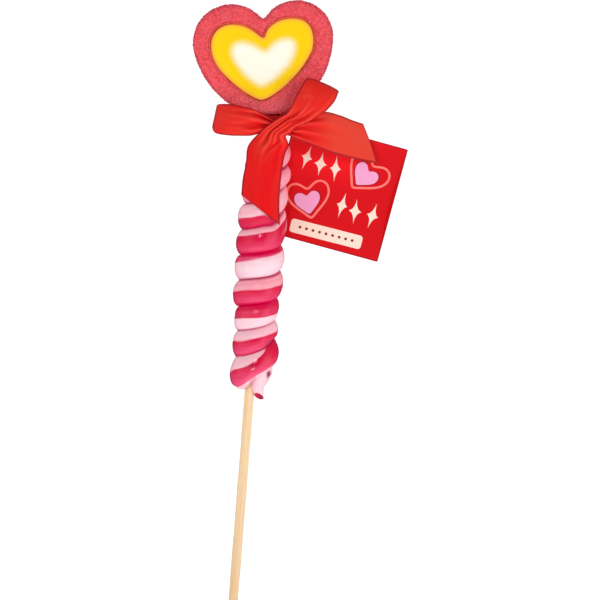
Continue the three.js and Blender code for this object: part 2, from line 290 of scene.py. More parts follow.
def set_light():
    world = bpy.data.worlds.new("studio")
    world.use_nodes = True
    background = world.node_tree.nodes["Background"]
    # paler towards the horizon than overhead, with a soft glow in front and one to the right
    tree = world.node_tree
    direction = tree.nodes.new("ShaderNodeTexCoord").outputs["Generated"]
    split = tree.nodes.new("ShaderNodeSeparateXYZ")
    tree.links.new(direction, split.inputs[0])
    sky = ramp(tree, calc(tree, "MULTIPLY_ADD", split.outputs[2], 0.5, 0.5),
               [(0.0, (0.05, 0.05, 0.05, 1)), (0.36, (0.10, 0.10, 0.10, 1)), (0.60, (0.48, 0.48, 0.48, 1)),
                (0.725, (0.28, 0.28, 0.28, 1)), (1.0, (0.05, 0.05, 0.05, 1))])
    strength = sky
    for way, start, end, power in (((0.0, -0.80, 0.60), 0.60, 1.0, 0.8), ((0.80, 0.0, 0.60), 0.76, 0.98, 1.2),
                                   ((-0.80, 0.10, 0.60), 0.75, 0.99, 0.45)):
        dot = tree.nodes.new("ShaderNodeVectorMath")
        dot.operation = "DOT_PRODUCT"
        tree.links.new(direction, dot.inputs[0])
        dot.inputs[1].default_value = way
        glow = ramp(tree, dot.outputs["Value"], [(start, (0, 0, 0, 1)), (end, (1, 1, 1, 1))], "EASE")
        strength = calc(tree, "ADD", strength, calc(tree, "MULTIPLY", glow, power))
    background.inputs["Color"].default_value = (1, 1, 1, 1)
    tree.links.new(strength, background.inputs["Strength"])
    scene.world = world
    middle = (0.0, 0.03, 0.01)
    soft_light("key", (-0.19, 0.48, 1.25), middle, 0.2, 2.8)
    for name, place, wide, watts, tall in (("front", (0.0, -1.15, 0.95), 1.6, 4.4, 0.5), ("right", (1.25, 0.2, 1.0), 1.0, 5.5, 1.4),
                                           ("left", (-1.25, 0.1, 1.0), 1.0, 5.5, 1.4)):
        lamp = soft_light(name, place, middle, wide, watts, size_y=tall)
        lamp.visible_glossy = False
    scene.view_settings.view_transform = "Standard"
    scene.view_settings.look = "None"
    scene.view_settings.exposure = 0.0
    scene.view_settings.gamma = 1.0


def set_floor():
    material, tree, shader = new_material("floor_white")
    shader.inputs["Base Color"].default_value = (0.34, 0.34, 0.34, 1)
    shader.inputs["Roughness"].default_value = 0.9
    shader.inputs["Specular IOR Level"].default_value = 0.0
    shader.inputs["Emission Color"].default_value = (1, 1, 1, 1)
    shader.inputs["Emission Strength"].default_value = 0.86
    n = 16
    side = 4000.0
    points = [(-side / 2 + side * i / n, -side / 2 + side * j / n, 0) for j in range(n + 1) for i in range(n + 1)]
    floor = make_object("floor", points, grid_faces(n + 1, n + 1), attributes=None, materials=[material])
    floor.visible_glossy = False


# --------------------------------------------------------------------------------- candy
CANDY = {
    "lead": 10.93, "first": -3.033, "start": math.radians(-290), "turns": 9.25,
    "radius_top": 10.62, "radius_low": 9.95, "groove": 2.35, "half": 5.86, "dip": 1.3,
    "stretch_from": -25.0, "stretch_by": 1.14, "drift_x": 1.5, "drift_z": -1.3,
    "drift_from": 20.0, "drift_to": -24.0,
}
_edge = math.sqrt(1 - ((0.5 * CANDY["lead"]) / CANDY["half"]) ** 2)
BULGE = CANDY["groove"] / (1 - _edge)

# Turn of the rope's two colours about its own centre, in half turns, at places along it
# counted in turns from the lower end. The rope's front passes at 0.806, 1.806 and so on.
TWIST = [(-0.2, 1.12), (0.3, 1.05), (0.50, 0.62), (0.60, 0.52), (0.68, 0.47), (0.75, 0.455), (0.78, 0.425), (0.81, 0.35), (0.84, 0.24),
         (0.87, 0.10), (0.90, -0.02), (0.94, -0.10), (1.0, -0.16), (1.056, -0.20),
         (1.50, -1.57), (1.60, -1.60), (1.806, -1.58), (2.056, -1.51),
         (2.50, -2.50), (2.60, -2.51), (2.806, -2.46), (3.056, -2.35),
         (3.50, -3.52), (3.60, -3.54), (3.806, -3.55), (4.056, -3.58),
         (4.50, -4.66), (4.60, -4.70), (4.806, -4.78), (5.056, -4.88),
         (5.50, -5.68), (5.60, -5.70), (5.806, -5.72), (6.056, -5.80),
         (6.50, -7.36), (6.60, -7.40), (6.806, -7.36), (7.056, -7.15),
         (7.50, -8.60), (7.806, -8.95), (8.056, -9.05), (8.50, -9.05), (9.3, -9.05)]


# Height of the helix on the right side over a plain one, by height along the stick.
CLIMB = [(-36.0, 5.0), (-30.4, 5.2), (-19.5, 3.1), (-8.56, 0.9), (2.37, -0.4), (13.3, 0.0), (24.0, 0.0),
         (34.8, 3.9), (45.6, 4.7), (56.3, 1.8), (70.0, 0.0)]
# Unevenness of the rope's distance from the axis, by turns from the lower end.
BREADTH = [(0.3, 0.5), (0.556, 0.9), (0.806, 0.6), (1.056, 0.8), (1.556, 1.0), (1.806, 0.4), (2.056, -0.7), (2.556, 0.4),
           (2.806, 0.2), (3.056, 0.2), (3.556, 1.65), (3.806, 0.6), (4.056, 0.9), (4.556, 1.2), (4.806, 0.4), (5.056, 0.4),
           (5.556, 0.5), (5.806, 0.4), (6.056, 0.3), (6.556, 0.8), (7.056, -0.4), (7.4, -0.2), (7.556, -0.7), (7.7, -0.3), (8.056, 0.1), (8.3, -0.2), (8.556, -1.4),
           (9.056, -0.9)]
# Lower edge of the crimson side on the lowest turn, where its pale underside shows.
UNDERSIDE = [(0.4, 0.95), (0.56, 0.95), (0.806, 0.90), (1.056, 0.84), (1.3, 1.3), (9.3, 1.3)]
# Depth of the pink in the pale side and polish of the skin, both by turns.
BLUSH = [(0.4, 0.2), (0.55, 0.35), (0.806, 0.4), (1.2, 0.4), (1.4, 0.4), (1.806, 0.45), (2.4, 0.45), (2.806, 0.12), (3.4, 0.5), (3.806, 1.05),
         (4.3, 0.7), (4.806, 0.05), (5.3, 0.4), (5.806, 0.7), (6.3, 0.6), (6.806, 0.4), (6.95, 0.8), (7.2, 1.1), (9.3, 1.1)]
# Painted sheen: how much the crimson is lightened towards the rope's lower side, for the soft reflection there, and
# near its upper side.
SHEEN_LIFT = [(0.4, 0.9), (0.806, 1.25), (1.806, 1.0), (2.806, 0.3), (3.806, 0.75), (4.806, 0.5), (5.806, 0.8), (6.806, 0.1), (9.3, 0.1)]
SHEEN_LIFT_TOP = [(4.2, 0.0), (4.5, 1.0), (4.95, 1.0), (5.2, 0.0)]
# how far the coil's left and right sides are drawn in at each height: (height, left, right)
DRAWN_IN = [(48.7, 0.00, 0.00), (41.9, 0.20, 0.10), (34.1, 0.50, 0.25), (26.4, 0.60, 0.40), (20.4, 0.60, 0.40),
            (16.9, 0.80, 0.30), (13.5, 1.05, 0.25), (8.3, 1.05, 0.50), (4.0, 0.65, 0.65), (0.6, 0.60, 0.55),
            (-2.0, 0.10, 0.80), (-4.6, 0.25, 1.10), (-7.6, 0.60, 0.60), (-11.5, 0.20, 0.45), (-14.5, 0.35, 0.50),
            (-17.5, 0.60, 1.40), (-20.5, 0.65, 1.05), (-23.5, 0.70, 0.60), (-26.1, 0.90, 0.15), (-28.7, 0.60, 0.00),
            (-32.1, 0.30, 0.00), (-36.4, 0.00, 0.00)]
# Painted highlight: the crimson lightened across the middle of the rope on a few turns.
SHEEN_LIFT_MIDDLE = [(2.3, 0.0), (2.5, 0.4), (2.95, 0.35), (3.15, 0.0)]
# Turns whose grooves get little of the painted groove shade and hardly darken.
SOFT_GROOVE = [(0.4, 1.0), (1.9, 0.85), (2.15, 0.0), (9.3, 0.0)]
POLISH = [(0.3, 0.0), (0.6, 0.6), (0.8, 1.0), (1.0, 0.6), (1.3, 0.1), (1.5, 0.3), (1.8, 0.8), (2.1, 0.3), (2.4, 0.0),
          (5.2, 0.0), (5.5, 0.4), (5.8, 1.0), (6.1, 0.4), (6.4, 0.0), (9.3, 0.0)]


def by_turn(table, tau):
    places, values = zip(*table)
    return np.interp(tau, places, values)


def narrowed(points):
    """The coil is slightly narrower than it is deep, by different amounts along its height."""
    heights = [q[0] for q in DRAWN_IN][::-1]
    left = np.interp(points[:, 1], heights, [q[1] for q in DRAWN_IN][::-1])
    right = np.interp(points[:, 1], heights, [q[2] for q in DRAWN_IN][::-1])
    off = points[:, 0] - (0.85 + (points[:, 1] - 26.38) * 0.0385)
    out = points.copy()
    out[:, 0] += left * smooth(4.5, 9.0, -off) - right * smooth(4.5, 9.0, off)
    return out


def candy_tone(turn, tau):
    """Above 0 on the crimson side of the rope, below 0 on its pale side."""
    tone = np.sin(turn - colour_phase(tau)) - 0.5 * smooth(7.3, 7.6, tau)
    end = by_turn(UNDERSIDE, tau) * math.pi
    return np.minimum(tone, np.sin(np.clip(end - turn, -math.pi / 2, math.pi / 2)) * 1.6)


def colour_phase(tau):
    places, turns = zip(*TWIST)
    tau = np.asarray(tau, float)
    flat = np.interp(tau, places, turns)
    for off in (-0.04, 0.04, -0.02, 0.02):
        flat = flat + np.interp(tau + off, places, turns)
    return math.pi * flat / 5


def candy_axis(base):
    drift = smooth(CANDY["drift_from"], CANDY["drift_to"], base)
    return CANDY["drift_x"] * drift, AXIS_Z + CANDY["drift_z"] * drift


def candy_place(tau, share, up):
    """Skin of the rope on the helix. share runs 0 to 1 from the upper to the lower groove,
    up is the height over the rope's own middle, in millimetres."""
    c = CANDY
    theta = c["start"] + 2 * math.pi * tau
    base = c["lead"] * (c["first"] + theta / (2 * math.pi) + 1 - share)
    crest = lerp(c["radius_low"], c["radius_top"], smooth(-5, 24, base))
    wobble = 0.13 * np.sin(1.7 * theta + 0.4) + 0.1 * np.sin(0.61 * theta + 2.0)
    r = crest - BULGE + up + wobble + by_turn(BREADTH, tau)
    # a small bead of sugar on the lowest turn
    r = r + 0.5 * np.exp(-((np.asarray(tau) - 0.796) / 0.028) ** 2 - ((share - 0.668) / 0.0915) ** 2)
    y = np.where(base < c["stretch_from"], c["stretch_from"] + (base - c["stretch_from"]) * c["stretch_by"], base)
    y = y - c["dip"] * np.cos(theta)
    # the lowest turns climb steeply on the right
    turn = np.mod(np.degrees(theta) + 90, 360) - 90
    climb = np.minimum(smooth(-45, 90, turn), smooth(255, 105, turn))
    y = y + climb * np.interp(base, [q[0] for q in CLIMB], [q[1] for q in CLIMB])
    # and one turn under the ribbon only starts to climb farther to the right
    here = np.exp(-((base - 33.4) / 4.0) ** 2)
    y = y - 1.4 * here * np.exp(-((turn - 32) / 22) ** 2) + 0.8 * here * np.exp(-((turn - 88) / 26) ** 2)
    # the lowest turn sags a little in front, left of the stick
    y = y - 2.0 * smooth(0.5, 0.95, share) * np.exp(-((np.asarray(tau) - 0.69) / 0.07) ** 2)
    ax, az = candy_axis(base)
    return np.stack([ax + r * np.sin(theta), y, az + r * np.cos(theta)], axis=-1)


def candy():
    c = CANDY
    outer_n, inner_n = 30, 9
    # one section of the rope: (share, height), first the outer skin, then the inner one
    s_out = 0.5 - 0.5 * np.cos(np.pi * np.arange(outer_n + 1) / outer_n)
    across = (s_out - 0.5) * c["lead"] / c["half"]
    up_out = BULGE * np.sqrt(np.maximum(0, 1 - across ** 2))
    s_in = 0.5 + 0.5 * np.cos(np.pi * np.arange(inner_n + 1) / inner_n)
    across_in = (s_in - 0.5) * c["lead"] / c["half"]
    up_in = -np.minimum(BULGE * np.sqrt(np.maximum(0, 1 - across_in ** 2)), 4.15)
    gap = 0.012 / c["lead"]
    share = np.clip(np.concatenate([s_out, s_in]), gap, 1 - gap)
    up = np.concatenate([up_out, up_in])
    turn = np.concatenate([math.pi * s_out, math.pi * (1 + (1 - s_in))])
    around = np.cumsum(np.concatenate([[0], np.hypot(np.diff(share) * c["lead"], np.diff(up))]))
    m = len(share)

    rings, tone, rope, low = [], [], [], []
    join = 0.40  # below this place the rope leaves the helix for its drawn-out end
    steps = 132
    taus = join + np.arange(int((c["turns"] - join) * steps) + 1) / steps
    # -------- the drawn-out end, from the join to the tip
    def middle(t):
        a = candy_place(np.array([t]), np.array([0.5]), np.array([0.0]))[0]
        return a
    path = [middle(join + 0.14), middle(join + 0.07), middle(join),
            (2.4, -33.2, 4.8), (4.9, -30.6, 6.0), (5.6, -29.4, 9.0), (4.4, -31.4, 12.0),
            (3.35, -34.2, 13.1), (3.3, -36.6, 13.1), (3.75, -39.2, 12.7), (4.2, -41.1, 12.5)]
    pts, tan, length = catmull(path, 120)
    start_at = int(np.argmin(np.linalg.norm(pts - middle(join), axis=1)))
    pts, tan = pts[start_at:], tan[start_at:]
    n_tail = len(pts)
    half_axial = c["lead"] / 2 * c["stretch_by"]
    flat_p = -(share - 0.5) * 2
    flat_q = up / BULGE
    psi = np.arctan2(flat_q, flat_p)
    spot = []
    for i in range(n_tail - 1, 0, -1):
        w = i / (n_tail - 1)
        # section axes: b out of the stick, a towards the rope's upper side
        centre = np.array([1.4, pts[i][1], 9.8])
        b = unit(pts[i] - centre)
        b_t = unit(b - tan[i] * np.dot(b, tan[i]))
        a_t = np.cross(tan[i], b_t)
        theta = math.atan2(pts[i][0] - 1.5, pts[i][2] - 9.8)
        k = float(smooth(0.0, 0.45, w))
        a = unit(lerp(np.array([0, 1.0, 0]), a_t, k))
        b = unit(lerp(np.array([math.sin(theta), 0, math.cos(theta)]), b_t, k))
        size_a = float(np.interp(w, [0, 0.12, 0.35, 0.6, 0.8, 1.0], [half_axial, 0.96 * half_axial, 4.7, 3.85, 3.1, 2.4]))
        size_b = float(np.interp(w, [0, 0.12, 0.35, 0.6, 0.8, 1.0], [BULGE, 0.97 * BULGE, 3.9, 3.3, 2.6, 2.05]))
        round_k = float(smooth(0.0, 0.4, w))
        p = lerp(flat_p, np.cos(psi), round_k)
        q = lerp(flat_q, np.sin(psi), round_k)
        ring = pts[i] + np.outer(p * size_a, a) + np.outer(q * size_b, b)
        # the end is cut off at a slant, its cut face seen from the front
        off = ring - pts[i]
        ring[:, 1] += float(smooth(0.6, 1.0, w)) * (0.64 * off[:, 2] - 0.5 * off[:, 0])
        rings.append(ring)
        tau = join - (w * length / 50.0)
        pale = float(smooth(0.05, 0.35, w))
        tone.append(lerp(candy_tone(turn, np.full(m, join)), np.full(m, -0.62), pale))
        rope.append(np.stack([np.full(m, tau * 50.0), around, np.full(m, tau)], axis=1))
        low.append(lerp(share, np.full(m, 0.5), pale))
    for tau in taus:
        ring = candy_place(np.full(m, tau), share, up)
        # the upper end narrows and tucks in under the ribbon
        w = float(smooth(c["turns"] - 0.22, c["turns"], tau))
        if w > 0:
            centre = candy_place(np.array([tau]), np.array([0.62]), np.array([-0.5]))[0]
            ring = centre + (ring - centre) * lerp(1.0, 0.42, w ** 1.5)
        rings.append(ring)
        tone.append(candy_tone(turn, np.full(m, tau)))
        rope.append(np.stack([np.full(m, tau * 50.0), around, np.full(m, tau)], axis=1))
        low.append(share)
    points = np.concatenate(rings)
    tone, rope, low = np.concatenate(tone), np.concatenate(rope), np.concatenate(low)
    n = len(rings)
    faces = grid_faces(n, m, wrap_cols=True, flip=True)
    cut = np.zeros(len(points))
    extra, extra_tone, extra_rope, extra_low, extra_cut = [], [], [], [], []

    def close(ring_start, inward, levels, flip, dark):
        """Rounds off an open end with a few shrinking rings and a middle point."""
        ring = points[ring_start:ring_start + m]
        centre = ring.mean(0)
        previous = list(range(ring_start, ring_start + m))
        for scale, depth in levels:
            first = len(points) + len(extra)
            for q in centre + (ring - centre) * scale + inward * depth:
                extra.append(q)
            extra_tone.extend(tone[ring_start:ring_start + m] * (1 - dark) + dark)
            extra_rope.extend(rope[ring_start:ring_start + m])
            extra_low.extend([0.5] * m)
            extra_cut.extend(dark * np.clip(0.74 + 0.16 * (ring[:, 0] - centre[0]), 0, 1))
            for j in range(m):
                a, b = previous[j], previous[(j + 1) % m]
                d, e = first + j, first + (j + 1) % m
                faces.append((a, b, e, d) if flip else (a, d, e, b))
            previous = list(range(first, first + m))
        tip = len(points) + len(extra)
        extra.append(centre + inward * levels[-1][1])
        extra_tone.append(1.0 if dark else 0.0)
        extra_rope.append(rope[ring_start])
        extra_low.append(0.5)
        extra_cut.append(dark)
        for j in range(m):
            a, b = previous[j], previous[(j + 1) % m]
            faces.append((a, b, tip) if flip else (a, tip, b))

    first = points[0:m]
    out = unit(np.cross(first - first.mean(0), np.roll(first, -1, axis=0) - first.mean(0)).sum(0))
    if np.dot(out, first.mean(0) - points[m:2 * m].mean(0)) < 0:
        out = -out
    close(0, out, [(0.96, 0.12), (0.85, 0.2), (0.6, 0.1), (0.3, 0.0)], True, 1.0)
    last = (n - 1) * m
    out = unit(points[last:last + m].mean(0) - points[last - m:last].mean(0))
    close(last, out, [(0.9, 0.6), (0.7, 1.1), (0.4, 1.45), (0.15, 1.55)], False, 0.0)
    points = np.concatenate([points, np.array(extra)])
    points[:, 2] = np.maximum(points[:, 2], 0.02)
    points = narrowed(points)
    attributes = {
        "tone": np.concatenate([tone, extra_tone]),
        "rope": np.concatenate([rope, np.array(extra_rope)]),
        "low": np.concatenate([low, extra_low]),
        "cut": np.concatenate([cut, extra_cut]),
    }
    turns_up, sides = attributes["rope"][:, 2], attributes["low"]
    attributes["blush"] = by_turn(BLUSH, turns_up)
    # painted sheen and painted highlights on the crimson, kept in the lift attribute
    attributes["lift"] = (np.interp(sides, [0, 0.45, 0.68, 0.84, 0.94, 1], [0, 0.04, 0.5, 1.0, 0.9, 0.1]) * by_turn(SHEEN_LIFT, turns_up)
                          + by_turn(SHEEN_LIFT_TOP, turns_up) * smooth(0.45, 0.3, sides) * smooth(0.07, 0.14, sides)
                          + by_turn(SHEEN_LIFT_MIDDLE, turns_up) * smooth(0.19, 0.3, sides) * smooth(0.62, 0.5, sides))
    attributes["low"] = 0.5 + (sides - 0.5) * (1 - 0.15 * by_turn(SOFT_GROOVE, turns_up))
    # painted shade: the skin is darkened round the sides, where the rope turns away to the back
    grid = points[:n * m].reshape(n, m, 3)
    across_rope = np.roll(grid, -1, axis=1) - np.roll(grid, 1, axis=1)
    outward = unit(np.cross(across_rope, np.gradient(grid, axis=0)))
    outward *= np.sign(np.sum(outward * (grid - grid.mean(axis=1, keepdims=True)), axis=2, keepdims=True))
    facing = np.concatenate([outward[:, :, 2].ravel(), np.ones(len(points) - n * m)])
    attributes["painted_side_shade"] = smooth(0.55, 0.05, facing)
    attributes["polish"] = by_turn(POLISH, turns_up)
    # painted highlight on the bead: its pink deepened
    attributes["blush"] = np.maximum(attributes["blush"], 1.2 * np.exp(-((turns_up - 0.797) / 0.03) ** 2) * smooth(0.5, 0.6, sides))
    # painted highlight: the bead is coloured pale pink for the glint on it
    near = np.exp(-((turns_up - 0.797) / 0.024) ** 2 - ((sides - 0.62) / 0.062) ** 2)
    attributes["tone"] = attributes["tone"] - 1.05 * near * smooth(0.3, 0.7, sides)
    # painted shade: a dark line for a crease above the bead, added to the cut mark
    painted_crease_shade = np.exp(-((turns_up - 0.789) / 0.034) ** 2 - ((sides - 0.475 - 1.0 * (turns_up - 0.789)) / 0.05) ** 2)
    attributes["cut"] = attributes["cut"] + 0.9 * painted_crease_shade
    # painted shadow: a dark spot on the upper right of the drawn-out end, for the shade in the gap there
    away = np.linalg.norm((points - np.array([7.6, -31.4, 12.0])) / np.array([1.15, 1.9, 3.4]), axis=1)
    attributes["cut"] = np.maximum(attributes["cut"], np.exp(-away ** 4) * 1.15)
    attributes["rope"][:, 2] = 0

    material, tree, shader = new_material("hard_candy")
    vector = attribute(tree, "rope").outputs["Vector"]
    streaks = noise_tex(tree, scaled(tree, vector, 0.035, 0.9, 1), 1.0, 3.0, 0.55)
    fine = noise_tex(tree, scaled(tree, vector, 0.10, 4.2, 1), 1.0, 2.0, 0.6)
    wander = noise_tex(tree, scaled(tree, vector, 0.09, 0.25, 1), 1.0, 2.0, 0.5)
    value = attribute(tree, "tone").outputs["Fac"]
    value = calc(tree, "ADD", value, calc(tree, "MULTIPLY_ADD", wander, 0.5, -0.25))
    value = calc(tree, "ADD", value, calc(tree, "MULTIPLY_ADD", streaks, 0.34, -0.17))
    side = calc(tree, "MULTIPLY_ADD", value, 0.5, 0.5, clamp=True)
    blush = calc(tree, "ADD", attribute(tree, "blush").outputs["Fac"], calc(tree, "MULTIPLY_ADD", streaks, 1.1, -0.55), clamp=True)
    pale = blend(tree, blush, srgb(252, 217, 227), srgb(254, 158, 174))
    low_side = attribute(tree, "low").outputs["Fac"]
    painted_side_shade = attribute(tree, "painted_side_shade").outputs["Fac"]
    # painted sheen: the crimson lightened towards a paler crimson pink
    sheen_mix = calc(tree, "MULTIPLY", attribute(tree, "lift").outputs["Fac"], calc(tree, "MULTIPLY_ADD", streaks, 1.1, 0.3), clamp=True)
    crimson = blend(tree, sheen_mix, srgb(220, 2, 66), srgb(238, 82, 128))
    crimson = blend(tree, calc(tree, "MULTIPLY", ramp(tree, fine, [(0.45, (0, 0, 0, 1)), (0.75, (1, 1, 1, 1))]), 0.3),
                    crimson, srgb(204, 0, 52))
    # painted shade round the rope's sides, deep on the crimson and light on the pale
    crimson = blend(tree, calc(tree, "MULTIPLY", painted_side_shade, 0.55), crimson, srgb(150, 20, 70))
    pale = blend(tree, calc(tree, "MULTIPLY", painted_side_shade, 0.2), pale, srgb(226, 160, 176))
    edge = ramp(tree, side, [(0.43, (0, 0, 0, 1)), (0.545, (1, 1, 1, 1))], "EASE")
    colour = blend(tree, edge, pale, crimson)
    # painted shade in the grooves between turns, wider and deeper where both sides are crimson
    groove = ramp(tree, low_side, [(0.0, (1, 1, 1, 1)), (0.036, (0.9, 0.9, 0.9, 1)), (0.08, (0, 0, 0, 1)),
                                   (0.92, (0, 0, 0, 1)), (0.964, (0.9, 0.9, 0.9, 1)), (1.0, (1, 1, 1, 1))])
    deep = ramp(tree, low_side, [(0.0, (1, 1, 1, 1)), (0.09, (0.9, 0.9, 0.9, 1)), (0.16, (0, 0, 0, 1)),
                                 (0.88, (0, 0, 0, 1)), (0.94, (0.9, 0.9, 0.9, 1)), (1.0, (1, 1, 1, 1))])
    groove = calc(tree, "MAXIMUM", groove, calc(tree, "MULTIPLY", deep, edge))
    colour = blend(tree, calc(tree, "MULTIPLY", groove, 0.9), colour, blend(tree, edge, srgb(206, 74, 116), srgb(222, 4, 82)))
    # colour of the cut face, and the painted crease shade and painted shadow carried in the cut mark
    colour = blend(tree, calc(tree, "MULTIPLY", attribute(tree, "cut").outputs["Fac"], 0.85, clamp=True), colour, srgb(150, 30, 72))
    tree.links.new(colour, shader.inputs["Base Color"])
    tree.links.new(calc(tree, "MULTIPLY_ADD", attribute(tree, "polish").outputs["Fac"], -0.14, 0.27), shader.inputs["Roughness"])
    shader.inputs["IOR"].default_value = 1.5
    shader.inputs["Specular IOR Level"].default_value = 0.42
    shader.inputs["Subsurface Weight"].default_value = 0.35
    shader.inputs["Subsurface Radius"].default_value = (1.0, 0.32, 0.4)
    shader.inputs["Subsurface Scale"].default_value = 0.0016
    bump(tree, shader, fine, 0.16, 0.0002)

    faces = [face[::-1] for face in faces]
    obj = make_object("candy_rope", points, faces, attributes=attributes, materials=[material])
    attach(obj, "root")
    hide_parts("candy_twist")
    return obj


# --------------------------------------------------------------------------------- stick
def stick():
    radius, inner, sides = 2.1, 103.0, 48
    profile = [(0.0, -146.0), (0.6, -146.0), (1.35, -145.95), (1.78, -145.8), (2.0, -145.5), (2.1, -145.0)]
    profile += [(2.1, y) for y in np.linspace(-143, inner - 1, 84)]
    profile += [(2.02, inner - 0.5), (1.7, inner - 0.1), (0.0, inner)]
    points, grain = [], []
    angles = 2 * np.pi * np.arange(sides) / sides
    for k, (r, y) in enumerate(profile[1:-1]):
        # a little out of true, as a turned stick is
        wave = 0.045 * math.sin(y * 0.21) + 0.03 * math.sin(y * 0.53 + 1.0)
        for t in angles:
            rr = r + (wave + 0.05 * math.sin(3 * t + y * 0.05)) * (r / radius)
            rr = min(rr, radius + 0.1)
            points.append((rr * math.sin(t), y, AXIS_Z + rr * math.cos(t)))
    n = len(profile) - 2
    faces = grid_faces(n, sides, wrap_cols=True, flip=True)
    points.append((0, profile[0][1], AXIS_Z))
    points.append((0, profile[-1][1], AXIS_Z))
    for j in range(sides):
        faces.append((j, (j + 1) % sides, n * sides))
        a = (n - 1) * sides
        faces.append((a + j, n * sides + 1, a + (j + 1) % sides))

    material, tree, shader = new_material("pale_wood")
    vector = object_vector(tree)
    grain = noise_tex(tree, scaled(tree, vector, 1500, 22, 1500), 1.0, 5.0, 0.62, 0.4)
    broad = noise_tex(tree, scaled(tree, vector, 320, 16, 320), 1.0, 2.0, 0.5)
    flecks = noise_tex(tree, scaled(tree, vector, 2400, 150, 2400), 1.0, 2.0, 0.5)
    colour = ramp(tree, grain, [(0.3, srgb(226, 186, 134)), (0.47, srgb(241, 209, 168)), (0.7, srgb(247, 221, 187))])
    colour = blend(tree, calc(tree, "MULTIPLY_ADD", broad, 0.7, -0.12, clamp=True), colour, srgb(238, 202, 156))
    colour = blend(tree, calc(tree, "MULTIPLY", ramp(tree, flecks, [(0.66, (0, 0, 0, 1)), (0.74, (1, 1, 1, 1))]), 0.5),
                   colour, srgb(206, 158, 100))
    split = tree.nodes.new("ShaderNodeSeparateXYZ")
    tree.links.new(vector, split.inputs[0])
    # darker towards the stick's lower end
    toward_end = ramp(tree, calc(tree, "MULTIPLY_ADD", split.outputs[1], 4.0, 0.6), [(0.0, (1, 1, 1, 1)), (0.34, (0, 0, 0, 1))])
    colour = blend(tree, calc(tree, "MULTIPLY", toward_end, 0.75), colour, srgb(222, 184, 138))
    tree.links.new(colour, shader.inputs["Base Color"])
    shader.inputs["Roughness"].default_value = 0.62
    shader.inputs["Subsurface Weight"].default_value = 0.12
    shader.inputs["Subsurface Radius"].default_value = (1.0, 0.6, 0.3)
    shader.inputs["Subsurface Scale"].default_value = 0.0008
    bump(tree, shader, grain, 0.35, 0.00012)
    faces = [face[::-1] for face in faces]
    obj = make_object("stick_wood", points, faces, materials=[material])
    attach(obj, "root")
    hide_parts("stick")
    return obj


# --------------------------------------------------------------------------------- heart
HEART = {"thickness": 20.0, "turn": math.radians(4.4)}
OUTER = {"centre": (-4.57, 104.28), "left": (-14.01, 5.99), "left_r": 16.93, "right": (13.82, 8.78),
         "right_r": 15.92, "left_side": 42.52, "right_side": 39.96, "tip": (0.37, -28.53),
         "tip_blend": 4.95, "notch_blend": 1.4, "peaks": ((0.75, 290.0, 8.0),)}
MIDDLE = {"centre": (-5.02, 102.26), "left": (-7.77, 1.66), "left_r": 10.47, "right": (10.79, 8.12),
          "right_r": 10.07, "left_side": 31.25, "right_side": 46.53, "tip": (-0.38, -16.1),
          "tip_blend": 0.83, "notch_blend": 4.28, "peaks": ((1.54, 41.8, 15.5), (6.6, 144.2, 34.7),
          (0.92, 300.0, 48.0), (0.86, 8.0, 34.0), (0.36, 264.0, 25.0), (0.6, 205.0, 45.0))}
CORE = {"centre": (-4.31, 101.45), "left": (-2.95, -1.04), "left_r": 6.5, "right": (5.51, 1.16),
        "right_r": 4.78, "left_side": 15.02, "right_side": 25.83, "tip": (-0.88, -9.93),
        "tip_blend": 0.38, "notch_blend": 2.95, "peaks": ((6.54, 41.8, 26.9), (7.25, 148.9, 31.8))}


def heart_radius(o, angle):
    """Distance from an outline's centre to its edge in the direction of an angle."""
    d = np.stack([np.cos(angle), np.sin(angle)], axis=-1)

    def leave(c, r):
        b = d @ np.asarray(c)
        q = b * b - np.dot(c, c) + r * r
        return b + np.sign(q) * np.sqrt(np.abs(q))

    def soft_min(a, b, k):
        m = np.minimum(a, b)
        return m - k * np.log(np.exp(-(a - m) / k) + np.exp(-(b - m) / k))

    def side_centre(lobe, r, big, sign):
        a = big - r
        dx, dy = o["tip"][0] - lobe[0], o["tip"][1] - lobe[1]
        far = math.hypot(dx, dy)
        ex, ey = dx / far, dy / far
        x = (a * a - big * big + far * far) / (2 * far)
        h = math.sqrt(max(a * a - x * x, 0))
        p = (lobe[0] + ex * x - ey * h, lobe[1] + ey * x + ex * h)
        q = (lobe[0] + ex * x + ey * h, lobe[1] + ey * x - ex * h)
        return p if (p[0] - q[0]) * sign > 0 else q

    sl = side_centre(o["left"], o["left_r"], o["left_side"], 1)
    sr = side_centre(o["right"], o["right_r"], o["right_side"], -1)

    def touch(lobe, r, s):
        l = math.hypot(lobe[0] - s[0], lobe[1] - s[1])
        return math.atan2(lobe[1] + (lobe[1] - s[1]) / l * r, lobe[0] + (lobe[0] - s[0]) / l * r)

    at = np.mod(angle, 2 * np.pi)
    at = np.where(at < np.pi / 2, at + 2 * np.pi, at)
    low = touch(o["left"], o["left_r"], sl) % (2 * math.pi)
    high = touch(o["right"], o["right_r"], sr) % (2 * math.pi)
    if high < math.pi:
        high += 2 * math.pi
    below = soft_min(leave(sl, o["left_side"]), leave(sr, o["right_side"]), o["tip_blend"])
    above = -soft_min(-leave(o["left"], o["left_r"]), -leave(o["right"], o["right_r"]), o["notch_blend"])
    r = np.where((at > low) & (at < high), below, above)
    for height, where, breadth in o["peaks"]:
        off = np.mod(np.degrees(angle) - where + 180, 360) - 180
        r = r + height * np.exp(-((off / breadth) ** 2))
    return r


